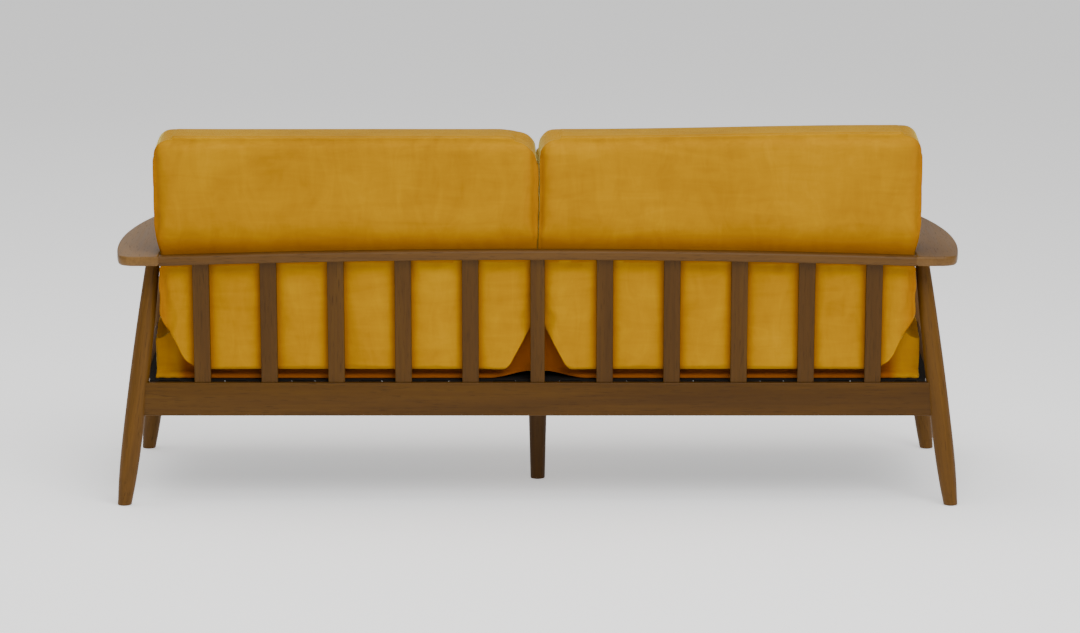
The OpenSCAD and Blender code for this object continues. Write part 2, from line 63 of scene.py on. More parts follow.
# A seam's ridge and the hollows beside it: heights, widths and the hollows' distance from the ridge.
SEAM_RIDGE, SEAM_WIDTH = 0.0026, 0.0045
SEAM_HOLLOW, SEAM_HOLLOW_WIDTH, SEAM_OFFSET = 0.0022, 0.0055, 0.0115
# Turns the seat plane's y into a distance forward, and back.
FORWARD = np.array([1.0, -1.0, 1.0])


class Side(Enum):
    """Which half of the sofa a piece belongs to, as the sign of its x."""

    LEFT = -1
    RIGHT = 1

    @property
    def word(self) -> str:
        """The side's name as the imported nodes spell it."""
        return self.name.lower()


class End(Enum):
    """Which end of the side frame a piece belongs to, as the sign of its y."""

    FRONT = -1
    REAR = 1

    @property
    def word(self) -> str:
        """The end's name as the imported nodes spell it."""
        return self.name.lower()


# ------------------------------------------------------------------ sizes that the pieces share


@dataclass(frozen=True)
class Plan:
    """The sofa's shared sizes, and the lines that its pieces are set out on."""

    foot_width: float = 1.880
    foot_depth: float = 0.734
    arm_height: float = 0.569
    arm_thickness: float = 0.022
    rail_top: float = 0.276
    rail_height: float = 0.075
    rail_thickness: float = 0.024
    leg_foot_d: float = 0.030
    leg_belly_d: float = 0.045
    leg_top_d: float = 0.031
    belly_height: float = 0.205
    splay: float = math.radians(7)
    rake: float = math.radians(5)
    recline: float = math.radians(9)
    slope: float = math.radians(3)
    slat_thickness: float = 0.016
    slat_width: float = 0.037
    middle_slat_width: float = 0.032
    slat_end_gap: float = 0.091
    slat_count: int = 11
    crest_depth: float = 0.038
    crest_rise: float = 0.014
    arm_margin: float = 0.0035
    arm_width: float = 0.107
    arm_widest_at: float = 0.264
    arm_edge_r: float = 1.810
    arm_tip_overhang: float = 0.060
    seat_depth: float = 0.660
    seat_thickness: float = 0.115
    tuck_gap: float = 0.038
    platform_top: float = 0.003
    touch: float = 0.0003
    housing: float = 0.0025
    shift: float = 0.0

    @property
    def arm_bottom(self) -> float:
        """Height of the underside of the arms."""
        return self.arm_height - self.arm_thickness

    def leg_x(self, z: float) -> float:
        """Distance of a corner leg's axis from the middle plane at height z."""
        return self.foot_width / 2 - self.leg_foot_d / 2 - math.tan(self.splay) * z

    def leg_reach(self, z: float) -> float:
        """Distance of a corner leg's axis, fore or aft, from the middle of the feet at height z."""
        return self.foot_depth / 2 - self.leg_foot_d / 2 - math.tan(self.rake) * z

    def leg_radius(self, z: float) -> float:
        """Radius of a corner leg: it swells from the foot to the belly and thins to the arm.

        Args:
            z: The height.

        Returns:
            The radius there.
        """
        belly, below = self.leg_belly_d / 2, (self.leg_belly_d - self.leg_foot_d) / 2
        if z < self.belly_height:
            return belly - below * min(1.0, 1 - z / self.belly_height) ** 3
        above = (self.leg_belly_d - self.leg_top_d) / 2
        return belly - above * ((z - self.belly_height) / (self.arm_bottom - self.belly_height)) ** 2

    @property
    def rear_rail_y(self) -> float:
        """Middle of the rear rail's thickness."""
        return self.leg_reach(self.rail_top - self.rail_height / 2) + self.shift

    @property
    def front_rail_y(self) -> float:
        """Middle of the front rail's thickness.

        Returns:
            Its y.
        """
        rear = self.rear_rail_y - self.shift
        rise = self.rail_top - self.rail_height / 2 + 2 * rear * math.tan(self.slope)
        return self.shift - self.leg_reach(rise)

    @property
    def seat_line_y(self) -> float:
        """The rear face of the rear rail, which the seat plane starts from."""
        return self.rear_rail_y + self.rail_thickness / 2

    @property
    def front_rail_top(self) -> float:
        """Height of the front rail's top, as much higher as the seat slopes."""
        run = self.seat_line_y - self.front_rail_y - self.rail_thickness / 2
        return self.rail_top + run * math.tan(self.slope)

    @property
    def back_foot_y(self) -> float:
        """The slats' front faces at the top of the rear rail."""
        return self.rear_rail_y - self.slat_thickness / 2 / math.cos(self.recline)

    def back_y(self, z: float) -> float:
        """The slats' front faces at height z."""
        return self.back_foot_y + (z - self.rail_top) * math.tan(self.recline)

    @property
    def arm_inner(self) -> float:
        """The arms' inner edges."""
        return self.leg_x(self.arm_bottom) - self.leg_top_d / 2 - self.arm_margin

    @property
    def arm_outer(self) -> float:
        """The arms' outer edges at their widest."""
        return self.arm_inner + self.arm_width

    @property
    def crest_rear(self) -> float:
        """The rear face of the crest rail and the rear ends of the arms."""
        return self.back_y(self.arm_bottom) + self.crest_depth

    @property
    def arm_tip(self) -> float:
        """The front ends of the arms."""
        return self.shift - self.leg_reach(self.arm_bottom) - self.arm_tip_overhang

    @property
    def slat_pitch(self) -> float:
        """Distance between the middles of two slats."""
        return 2 * (self.arm_inner - self.slat_end_gap) / (self.slat_count - 1)

    def slat_x(self, index: int) -> float:
        """Middle of a slat, counted from 1 at the left."""
        return (index - (self.slat_count + 1) // 2) * self.slat_pitch

    def slat_w(self, index: int) -> float:
        """Width of a slat, counted from 1 at the left."""
        middle = index == (self.slat_count + 1) // 2
        return self.middle_slat_width if middle else self.slat_width

    def crest_lift(self, x: float) -> float:
        """How far the crest rail has arched up at x."""
        return self.crest_rise * (1 - (x / self.arm_inner) ** 2)

    @property
    def seat_rear(self) -> float:
        """Rear face of the seat cushions, as a distance forward in the seat plane."""
        return self.seat_line_y - self.back_foot_y + self.tuck_gap

    @property
    def seat_low(self) -> float:
        """Underside of the seat cushions above the seat plane."""
        return self.platform_top + self.touch

    @property
    def seat_high(self) -> float:
        """Top of the seat cushions above the seat plane."""
        return self.seat_low + self.seat_thickness

    def seat_matrix(self) -> Matrix:
        """Places a shape whose x-y plane is the seat plane, with -y forward from the rear rail."""
        place = Matrix.Translation((0, self.seat_line_y, self.rail_top))
        return place @ Matrix.Rotation(-self.slope, 4, "X")


# ------------------------------------------------------------------ shader wiring


class Wire:
    """A node socket that takes arithmetic: an expression on it adds the Math nodes."""

    def __init__(self, shading: "Shading", socket: bpy.types.NodeSocket) -> None:
        """Wraps a socket.

        Args:
            shading: The material under construction.
            socket: The output socket that carries the value.
        """
        self.shading = shading
        self.socket = socket

    def _math(self, operation: str, first: Any, second: Any = 0.0) -> "Wire":
        """Adds one Math node.

        Args:
            operation: The node's operation.
            first: The first value or wire.
            second: The second value or wire.

        Returns:
            The node's output.
        """
        return self.shading.node("ShaderNodeMath", {"operation": operation}, {0: first, 1: second})

    def __add__(self, other: Any) -> "Wire":
        """This plus other."""
        return self._math("ADD", self, other)

    __radd__ = __add__

    def __sub__(self, other: Any) -> "Wire":
        """This minus other."""
        return self._math("SUBTRACT", self, other)

    def __rsub__(self, other: Any) -> "Wire":
        """Other minus this."""
        return self._math("SUBTRACT", other, self)

    def __mul__(self, other: Any) -> "Wire":
        """This times other."""
        return self._math("MULTIPLY", self, other)

    __rmul__ = __mul__

    def above(self, edge: float, soft: float) -> "Wire":
        """A mask that rises from 0 at edge to 1 at edge + soft.

        Args:
            edge: Where the mask starts.
            soft: How wide its ramp is.

        Returns:
            The mask.
        """
        settings = {"interpolation_type": "SMOOTHSTEP", "clamp": True}
        return self.shading.node("ShaderNodeMapRange", settings, {0: self, 1: edge, 2: edge + soft})


class Shading:
    """One material's node tree under construction."""

    def __init__(self, name: str) -> None:
        """Starts a material with a Principled shader.

        Args:
            name: The material's name.
        """
        self.material = bpy.data.materials.new(name)
        self.material.use_nodes = True
        self.tree = self.material.node_tree
        self.surface = next(n for n in self.tree.nodes if n.type == "BSDF_PRINCIPLED")

    def node(
        self,
        kind: str,
        settings: Optional[dict[str, Any]] = None,
        inputs: Optional[dict[Union[int, str], Any]] = None,
        output: Union[int, str] = 0,
    ) -> Wire:
        """Adds a node.

        Args:
            kind: The node's type name.
            settings: Its properties, set before its sockets; "stops" fills a colour ramp.
            inputs: Socket name or index to a wire, a number, a colour or a vector.
            output: The socket that the returned wire carries.

        Returns:
            The chosen output as a wire.
        """
        made = self.tree.nodes.new(kind)
        for key, value in (settings or {}).items():
            if key == "stops":
                self._fill_ramp(made.color_ramp, value)
            else:
                setattr(made, key, value)
        for key, value in (inputs or {}).items():
            self._feed(made.inputs[key], value)
        return Wire(self, made.outputs[output])

    def _fill_ramp(self, ramp: bpy.types.ColorRamp, stops: Sequence[tuple[float, Colour]]) -> None:
        """Sets a ramp's stops.

        Args:
            ramp: The ramp.
            stops: Its positions and colours, in order.
        """
        while len(ramp.elements) < len(stops):
            ramp.elements.new(0.5)
        for element, (place, colour) in zip(ramp.elements, stops):
            element.position = place
            element.color = (*colour, 1.0)

    def _feed(self, socket: bpy.types.NodeSocket, value: Any) -> None:
        """Links or sets one input socket.

        Args:
            socket: The input.
            value: A wire, or what the socket's default becomes.
        """
        if isinstance(value, Wire):
            self.tree.links.new(value.socket, socket)
        elif socket.type == "RGBA" and len(value) == 3:
            socket.default_value = (*value, 1.0)
        else:
            socket.default_value = value

    def mix(self, share: Any, first: Any, second: Any, blend: str = "MIX") -> Wire:
        """Mixes two colours.

        Args:
            share: How much of the second shows, from 0 to 1.
            first: A colour or a wire.
            second: A colour or a wire.
            blend: The blend type.

        Returns:
            The mixed colour.
        """
        settings = {"data_type": "RGBA", "blend_type": blend, "clamp_factor": True}
        return self.node("ShaderNodeMix", settings, {0: share, 6: first, 7: second}, 2)

    def noise(self, where: Wire, scale: float, detail: float = 2.0, rough: float = 0.5, bend: float = 0.0) -> Wire:
        """A noise value from 0 to 1.

        Args:
            where: The coordinates.
            scale: Features per metre.
            detail: Octaves.
            rough: Strength of the finer octaves.
            bend: Distortion.

        Returns:
            The noise.
        """
        inputs = {"Vector": where, "Scale": scale, "Detail": detail, "Roughness": rough, "Distortion": bend}
        return self.node("ShaderNodeTexNoise", {"noise_dimensions": "3D"}, inputs)

    def stretched(self, where: Wire, scale: Sequence[float], offset: Sequence[float] = (0, 0, 0)) -> Wire:
        """Coordinates scaled by axis.

        Args:
            where: The coordinates.
            scale: Factor for each axis.
            offset: Added after the scaling.

        Returns:
            The new coordinates.
        """
        return self.node("ShaderNodeMapping", None, {"Vector": where, "Scale": scale, "Location": offset})

    def place(self) -> Wire:
        """The piece's own coordinates in metres."""
        return self.node("ShaderNodeTexCoord", None, None, "Object")

    def attribute(self, name: str) -> Wire:
        """A vector stored on the mesh."""
        return self.node("ShaderNodeAttribute", {"attribute_name": name}, None, "Vector")

    def bump(self, height: Wire, distance: float, strength: float = 1.0, under: Optional[Wire] = None) -> Wire:
        """A bumped normal.

        Args:
            height: The height from 0 to 1.
            distance: The height in metres that 1 stands for.
            strength: How much of the effect shows.
            under: A normal that this one is added to.

        Returns:
            The normal.
        """
        inputs: dict[Union[int, str], Any] = {"Height": height, "Distance": distance, "Strength": strength}
        if under is not None:
            inputs["Normal"] = under
        return self.node("ShaderNodeBump", None, inputs)

    def surface_with(self, **sockets: Any) -> bpy.types.Material:
        """Sets the Principled shader's sockets.

        Args:
            **sockets: Socket names with _ for a space, and their wires or values.

        Returns:
            The finished material.
        """
        for name, value in sockets.items():
            self._feed(self.surface.inputs[name.replace("_", " ")], value)
        return self.material


# ------------------------------------------------------------------ finishes


@dataclass(frozen=True)
class OiledWood:
    """Straight-grained timber under a satin oil, read along the stored grain direction."""

    name: str
    light: Colour
    middle: Colour
    dark: Colour
    pore: Colour
    roughness: float = 0.42
    coat: float = 0.02

    def material(self) -> bpy.types.Material:
        """Builds the grain: broad figure, fine fibre, short open pores and a slight colour drift.

        Returns:
            The material.
        """
        made = Shading(self.name)
        grain = made.attribute("grain")
        figure = made.noise(made.stretched(grain, (0.9, 11.0, 11.0)), 1.0, 4.0, 0.55, 0.9)
        fibre = made.noise(made.stretched(grain, (5.0, 150.0, 150.0)), 1.0, 3.0, 0.6, 0.3)
        drift = made.noise(made.stretched(grain, (0.7, 2.4, 2.4)), 1.0, 1.0)
        pores = made.noise(made.stretched(grain, (26.0, 620.0, 620.0)), 1.0, 1.0, 0.4).above(0.63, 0.07)
        streak = figure * 0.62 + fibre * 0.38
        stops = [(0.30, self.dark), (0.50, self.middle), (0.70, self.light)]
        body = made.node("ShaderNodeValToRGB", {"stops": stops}, {0: streak})
        deeper = made.mix(drift.above(0.46, 0.22) * 0.35, body, self.dark)
        colour = made.mix(pores * 0.5, deeper, self.pore)
        rough = self.roughness + fibre * 0.14 + pores * 0.12 - 0.05
        normal = made.bump(fibre - pores * 0.9, 0.00022, 0.5)
        return made.surface_with(
            Base_Color=colour,
            Roughness=rough,
            Normal=normal,
            Coat_Weight=self.coat,
            Coat_Roughness=0.38,
            Specular_IOR_Level=0.14,
        )


@dataclass(frozen=True)
class Velvet:
    """Short-pile velvet: a nap brushed here and there, a soft sheen, a fine pile and a tone for painted shade."""

    name: str
    deep: Colour
    body: Colour
    brushed: Colour
    crushed: Colour
    sheen: Colour

    def material(self) -> bpy.types.Material:
        """Builds the nap's light and dark patches and the pile, and mixes in painted shade from the mesh's stored
        share.

        Returns:
            The material.
        """
        made = Shading(self.name)
        where = made.place()
        pressed = made.node("ShaderNodeAttribute", {"attribute_name": "pressed"}, None, "Fac")
        broad = made.noise(where, 3.2, 3.0, 0.55, 0.6)
        strokes = made.noise(made.stretched(where, (26.0, 26.0, 6.5)), 1.0, 4.0, 0.6, 1.2)
        across = made.noise(made.stretched(where, (7.0, 14.0, 38.0)), 1.0, 3.0, 0.6, 1.0)
        pile = made.noise(where, 1500.0, 2.0, 0.6)
        tufts = made.noise(where, 260.0, 2.0, 0.5)
        nap = broad * 0.46 + strokes * 0.30 + across * 0.24
        stops = [(0.34, self.deep), (0.50, self.body), (0.66, self.brushed)]
        lit = made.node("ShaderNodeValToRGB", {"stops": stops}, {0: nap})
        # Painted shade: the mesh's stored share mixes the shade tone in where shade falls on the cushion.
        colour = made.mix(pressed * 0.9, made.mix(pile * 0.22, lit, self.deep), self.crushed)
        rough = 0.74 + nap * 0.2
        normal = made.bump(pile * 0.7 + tufts * 0.3, 0.0007, 0.42, made.bump(nap, 0.004, 0.25))
        return made.surface_with(
            Base_Color=colour,
            Roughness=rough,
            Normal=normal,
            Sheen_Weight=0.65,
            Sheen_Roughness=0.19,
            Sheen_Tint=self.sheen,
            Specular_IOR_Level=0.08,
        )


@dataclass(frozen=True)
class Woven:
    """Plain black upholstery cloth or webbing with its threads showing."""

    name: str
    dark: Colour
    light: Colour
    threads: float

    def material(self) -> bpy.types.Material:
        """Builds the two sets of threads and a little lint.

        Returns:
            The material.
        """
        made = Shading(self.name)
        where = made.place()
        sine = {"wave_type": "BANDS", "wave_profile": "SIN"}
        inputs = {"Vector": where, "Scale": self.threads}
        warp = made.node("ShaderNodeTexWave", {**sine, "bands_direction": "X"}, inputs)
        weft = made.node("ShaderNodeTexWave", {**sine, "bands_direction": "Y"}, inputs)
        lint = made.noise(where, 45.0, 4.0, 0.65)
        weave = warp * weft
        colour = made.mix(weave * 0.6 + lint * 0.4, self.dark, self.light)
        normal = made.bump(warp * 0.5 + weft * 0.5, 0.0004, 0.6)
        rough = 0.82 + lint * 0.12
        return made.surface_with(Base_Color=colour, Roughness=rough, Normal=normal, Specular_IOR_Level=0.2)


@dataclass(frozen=True)
class Metal:
    """Zinc-plated or blackened steel with fine brush marks and dull spots."""

    name: str
    bright: Colour
    dull: Colour
    roughness: float

    def material(self) -> bpy.types.Material:
        """Builds the brushing and the dull spots.

        Returns:
            The material.
        """
        made = Shading(self.name)
        where = made.place()
        brush = made.noise(made.stretched(where, (30.0, 900.0, 30.0)), 1.0, 2.0)
        spots = made.noise(where, 120.0, 3.0, 0.6)
        colour = made.mix(spots.above(0.45, 0.3), self.bright, self.dull)
        rough = self.roughness + brush * 0.12 + spots * 0.1
        normal = made.bump(brush, 0.00005, 0.4)
        return made.surface_with(Base_Color=colour, Roughness=rough, Metallic=1.0, Normal=normal)


@dataclass(frozen=True)
class Moulded:
    """Moulded nylon with a fine tooled grain and scuffs."""

    name: str
    body: Colour
    scuffed: Colour
    roughness: float = 0.5

    def material(self) -> bpy.types.Material:
        """Builds the tooled grain and the scuffs.

        Returns:
            The material.
        """
        made = Shading(self.name)
        where = made.place()
        grain = made.noise(where, 900.0, 2.0)
        scuffs = made.noise(made.stretched(where, (60.0, 240.0, 60.0)), 1.0, 4.0, 0.7).above(0.58, 0.2)
        colour = made.mix(scuffs * 0.6, self.body, self.scuffed)
        rough = self.roughness + scuffs * 0.2 + grain * 0.08
        return made.surface_with(Base_Color=colour, Roughness=rough, Normal=made.bump(grain, 0.0001, 0.4))


WALNUT = OiledWood(
    name="oiled_walnut",
    light=(0.146, 0.066, 0.009),
    middle=(0.108, 0.047, 0.006),
    dark=(0.070, 0.029, 0.004),
    pore=(0.032, 0.013, 0.002),
)
# Painted light: a lighter copy of the same walnut for the arms, whose tops catch the light.
LIT_ARM_WALNUT = OiledWood(
    name="oiled_walnut_arms",
    light=(0.215, 0.112, 0.030),
    middle=(0.158, 0.080, 0.020),
    dark=(0.098, 0.046, 0.011),
    pore=(0.045, 0.020, 0.005),
    roughness=0.36,
    coat=0.10,
)
# Painted shade: a darker copy of the same walnut for the rails, the slats and the centre leg, which stand in shade.
SHADED_WALNUT = OiledWood(
    name="oiled_walnut_rails",
    light=(0.094, 0.0415, 0.0035),
    middle=(0.070, 0.029, 0.0024),
    dark=(0.048, 0.019, 0.0016),
    pore=(0.024, 0.010, 0.001),
)
# Painted shade: a somewhat darker copy of the same walnut for the crest rail.
SHADED_CREST_WALNUT = OiledWood(
    name="oiled_walnut_crest",
    light=(0.122, 0.058, 0.013),
    middle=(0.092, 0.042, 0.009),
    dark=(0.062, 0.027, 0.006),
    pore=(0.029, 0.012, 0.003),
)
BEECH = OiledWood(
    name="bare_beech",
    light=(0.56, 0.37, 0.20),
    middle=(0.47, 0.29, 0.145),
    dark=(0.37, 0.215, 0.10),
    pore=(0.20, 0.11, 0.05),
    roughness=0.6,
    coat=0.0,
)
GOLD_VELVET = Velvet(
    name="gold_velvet",
    deep=(0.31, 0.137, 0.0004),
    body=(0.395, 0.184, 0.0006),
    brushed=(0.475, 0.242, 0.001),
    # The colour of the painted shade.
    crushed=(0.25, 0.056, 0.001),
    sheen=(1.0, 0.98, 0.30),
)
DECK_CLOTH = Woven("black_deck_cloth", (0.003, 0.003, 0.003), (0.011, 0.010, 0.010), 190.0)
WEBBING = Woven("black_webbing", (0.004, 0.004, 0.004), (0.020, 0.019, 0.018), 110.0)
ZINC = Metal("zinc_steel", (0.60, 0.61, 0.63), (0.42, 0.43, 0.44), 0.34)
CLIP_STEEL = Metal("blackened_clips", (0.020, 0.020, 0.021), (0.010, 0.010, 0.010), 0.5)
ZIP_METAL = Metal("blackened_zip", (0.12, 0.10, 0.07), (0.06, 0.05, 0.04), 0.36)
NYLON = Moulded("black_nylon", (0.012, 0.012, 0.013), (0.05, 0.05, 0.05))
ZIP_TAPE = Moulded("zip_tape", (0.20, 0.085, 0.006), (0.28, 0.13, 0.012), 0.7)


# ------------------------------------------------------------------ making pieces


class Workshop:
    """Turns finished bmeshes into pieces, and keeps one material for each finish."""

    def __init__(self, plan: Plan) -> None:
        """Opens the workshop.

        Args:
            plan: The sofa's shared sizes.
        """
        self.plan = plan
        self.materials: dict[str, bpy.types.Material] = {}

    def finish(self, finish: Any) -> bpy.types.Material:
        """The material of a finish, built once.

        Args:
            finish: One of the finish classes.

        Returns:
            Its material.
        """
        if finish.name not in self.materials:
            self.materials[finish.name] = finish.material()
        return self.materials[finish.name]

    def piece(
        self,
        name: str,
        bm: bmesh.types.BMesh,
        finish: Any,
        slot: str,
        body: str,
        stands_for: Sequence[str] = (),
        sharp: float = math.radians(32),
    ) -> bpy.types.Object:
        """Makes a finished piece.

        Args:
            name: The piece's name.
            bm: Its shape, in place, which is freed.
            finish: Its finish.
            slot: The record's material slot.
            body: The body that it rides on.
            stands_for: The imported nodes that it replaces.
            sharp: Edges that turn more than this stay sharp.

        Returns:
            The piece.
        """
        bmesh.ops.recalc_face_normals(bm, faces=bm.faces)
        mesh = bpy.data.meshes.new(name)
        bm.to_mesh(mesh)
        bm.free()
        mesh.shade_smooth()
        mesh.set_sharp_from_angle(angle=sharp)
        return self.place(name, mesh, finish, slot, body, stands_for)

    def place(
        self, name: str, mesh: bpy.types.Mesh, finish: Any, slot: str, body: str, stands_for: Sequence[str] = ()
    ) -> bpy.types.Object:
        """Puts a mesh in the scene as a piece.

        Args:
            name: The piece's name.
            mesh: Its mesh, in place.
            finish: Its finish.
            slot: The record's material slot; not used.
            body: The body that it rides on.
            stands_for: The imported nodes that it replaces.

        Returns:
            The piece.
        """
        made = bpy.data.objects.new(name, mesh)
        bpy.context.scene.collection.objects.link(made)
        mesh.materials.clear()
        mesh.materials.append(self.finish(finish))
        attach(made, body)
        if stands_for:
            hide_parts(*stands_for)
        LOG.info("%s: %d faces on %s", name, len(mesh.polygons), body)
        return made

    def dress_node(self, node: str, finish: Any) -> None:
        """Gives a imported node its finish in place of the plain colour.

        Args:
            node: The node's name.
            finish: Its finish.
        """
        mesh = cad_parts[node].data
        mesh.materials.clear()
        mesh.materials.append(self.finish(finish))
        LOG.info("%s: dressed as packed", node)

    def board(self, along: Vector, seed: float) -> tuple[list[Vector], Vector]:
        """The board that a piece is cut from.

        Args:
            along: The direction of the grain.
            seed: Sets this board's own place in the timber.

        Returns:
            The board's three directions, the grain's first, and where it starts in the timber.
        """
        axis = along.normalized()
        other = axis.cross(Vector((0.31, 0.87, 0.38))).normalized()
        return [axis, other, axis.cross(other)], Vector((seed * 3.17, seed * 1.31, seed * 2.53))

    def grain(self, bm: bmesh.types.BMesh, along: Vector, seed: float) -> None:
        """Stores where each vertex lies in the board it was cut from, with x along the grain.

        Args:
            bm: The shape, in place.
            along: The direction of the grain.
            seed: Sets this board's own place in the timber.
        """
        axes, start = self.board(along, seed)
        layer = bm.verts.layers.float_vector.new("grain")
        for vert in bm.verts:
            vert[layer] = start + Vector([vert.co.dot(axis) for axis in axes])

    def grain_node(self, node: str, along: Vector, seed: float, finish: Any) -> None:
        """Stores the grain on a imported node, whose mesh stays as it is, and dresses it.

        Args:
            node: The node's name.
            along: The direction of the grain.
            seed: Sets this board's own place in the timber.
            finish: Its finish.
        """
        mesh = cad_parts[node].data
        points = np.zeros(len(mesh.vertices) * 3, np.float32)
        mesh.vertices.foreach_get("co", points)
        axes, start = self.board(along, seed)
        turned = points.reshape(-1, 3) @ np.array(axes).T + np.array(start)
        stored = mesh.attributes.new("grain", "FLOAT_VECTOR", "POINT")
        stored.data.foreach_set("vector", turned.astype(np.float32).ravel())
        self.dress_node(node, finish)


def soften(bm: bmesh.types.BMesh, edges: Iterable[bmesh.types.BMEdge], radius: float, segments: int = 3) -> None:
    """Rounds edges.

    Args:
        bm: The shape.
        edges: The edges to round.
        radius: The radius of the round.
        segments: Its facets.
    """
    bmesh.ops.bevel(
        bm,
        geom=list(edges),
        offset=radius,
        offset_type="OFFSET",
        segments=segments,
        profile=0.5,
        affect="EDGES",
        material=-1,
        clamp_overlap=True,
    )


def box(bm: bmesh.types.BMesh, low: Sequence[float], high: Sequence[float]) -> list[bmesh.types.BMVert]:
    """Adds a block.

    Args:
        bm: The shape.
        low: Its lowest corner.
        high: Its highest corner.

    Returns:
        Its vertices.
    """
    size = [b - a for a, b in zip(low, high)]
    middle = [(a + b) / 2 for a, b in zip(low, high)]
    matrix = Matrix.Translation(middle) @ Matrix.Diagonal((*size, 1.0))
    return bmesh.ops.create_cube(bm, size=1.0, matrix=matrix)["verts"]


def lies_along(edge: bmesh.types.BMEdge, axis: int, tolerance: float = 0.75) -> bool:
    """Whether an edge runs mostly along an axis.

    Args:
        edge: The edge.
        axis: 0, 1 or 2 for x, y or z.
        tolerance: The least share of its length along the axis.

    Returns:
        True if it does.
    """
    run = edge.verts[1].co - edge.verts[0].co
    return run.length > 0 and abs(run[axis]) / run.length > tolerance


# ------------------------------------------------------------------ timber frame


@dataclass
class TurnedLegs:
    """The four corner legs, turned with a belly and set splayed and raked, and the centre leg."""

    shop: Workshop
    rings: int = 40
    steps: int = 28
    foot_round: float = 0.0022
    proud: float = 0.001
    centre_top_d: float = 0.045
    centre_foot_d: float = 0.033
    overrun: float = 0.03
    first_seed: float = 1.0

    def build(self) -> None:
        """Builds all five legs."""
        seed = self.first_seed
        for side in Side:
            for end in End:
                self.corner_leg(side, end, seed)
                seed += 1.0
        self.centre_leg(seed)

    def corner_leg(self, side: Side, end: End, seed: float) -> bpy.types.Object:
        """Turns one corner leg.

        Args:
            side: Its side.
            end: Its end.
            seed: Its place in the timber.

        Returns:
            The piece.
        """
        plan = self.shop.plan
        lean = math.hypot(math.tan(plan.splay), math.tan(plan.rake))
        stretch = math.hypot(1.0, lean)
        bm = bmesh.new()
        above, below = plan.arm_bottom + self.overrun, -self.overrun
        heights = [below + (above - below) * i / self.steps for i in range(self.steps + 1)]
        line = [bm.verts.new((plan.leg_radius(min(max(z, 0.0), plan.arm_bottom)), 0, z * stretch)) for z in heights]
        edges = [bm.edges.new(pair) for pair in zip(line, line[1:])]
        bmesh.ops.spin(
            bm,
            geom=[*line, *edges],
            cent=(0, 0, 0),
            axis=(0, 0, 1),
            angle=2 * math.pi,
            steps=self.rings,
            use_merge=True,
            use_duplicate=False,
        )
        bmesh.ops.remove_doubles(bm, verts=bm.verts, dist=TINY)
        across = Vector((-side.value * math.tan(plan.splay), -end.value * math.tan(plan.rake), 1.0))
        turn = Vector((0, 0, 1)).rotation_difference(across).to_matrix().to_4x4()
        foot = Vector((side.value * plan.leg_x(0), end.value * plan.leg_reach(0) + plan.shift, 0))
        bm.transform(Matrix.Translation(foot) @ turn)
        for height, up in ((self.proud, False), (plan.arm_bottom, True)):
            self.trim(bm, height, up)
        bmesh.ops.recalc_face_normals(bm, faces=bm.faces)
        sole = [e for e in bm.edges if all(abs(v.co.z - self.proud) < CLOSE for v in e.verts)]
        soften(bm, sole, self.foot_round)
        self.shop.grain(bm, across, seed)
        node = f"{end.word}_leg_{side.word}"
        return self.shop.piece(f"{node}_turned", bm, WALNUT, "walnut", "frame", [node])

    def trim(self, bm: bmesh.types.BMesh, height: float, above: bool) -> None:
        """Saws a leg off level and closes the cut.

        Args:
            bm: The leg.
            height: The height of the cut.
            above: True to take away what is above it, and False what is below.
        """
        geom = [*bm.verts, *bm.edges, *bm.faces]
        cut = bmesh.ops.bisect_plane(
            bm, geom=geom, plane_co=(0, 0, height), plane_no=(0, 0, 1), clear_outer=above, clear_inner=not above
        )
        rim = [e for e in cut["geom_cut"] if isinstance(e, bmesh.types.BMEdge)]
        bmesh.ops.contextual_create(bm, geom=rim)

    def centre_leg(self, seed: float) -> bpy.types.Object:
        """Turns the plain tapered leg under the middle of the rear of the seat.

        Args:
            seed: Its place in the timber.

        Returns:
            The piece.
        """
        low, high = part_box("centre_leg")
        middle = (low + high) / 2
        height = high.z - self.proud
        bm = bmesh.new()
        bmesh.ops.create_cone(
            bm,
            cap_ends=True,
            segments=self.rings,
            radius1=self.centre_foot_d / 2,
            radius2=self.centre_top_d / 2,
            depth=height,
            matrix=Matrix.Translation((middle.x, middle.y, self.proud + height / 2)),
        )
        sole = [e for e in bm.edges if all(v.co.z < self.proud + CLOSE for v in e.verts)]
        soften(bm, sole, self.foot_round)
        self.shop.grain(bm, Vector((0, 0, 1)), seed)
        return self.shop.piece("centre_leg_turned", bm, SHADED_WALNUT, "walnut", "frame", ["centre_leg"])


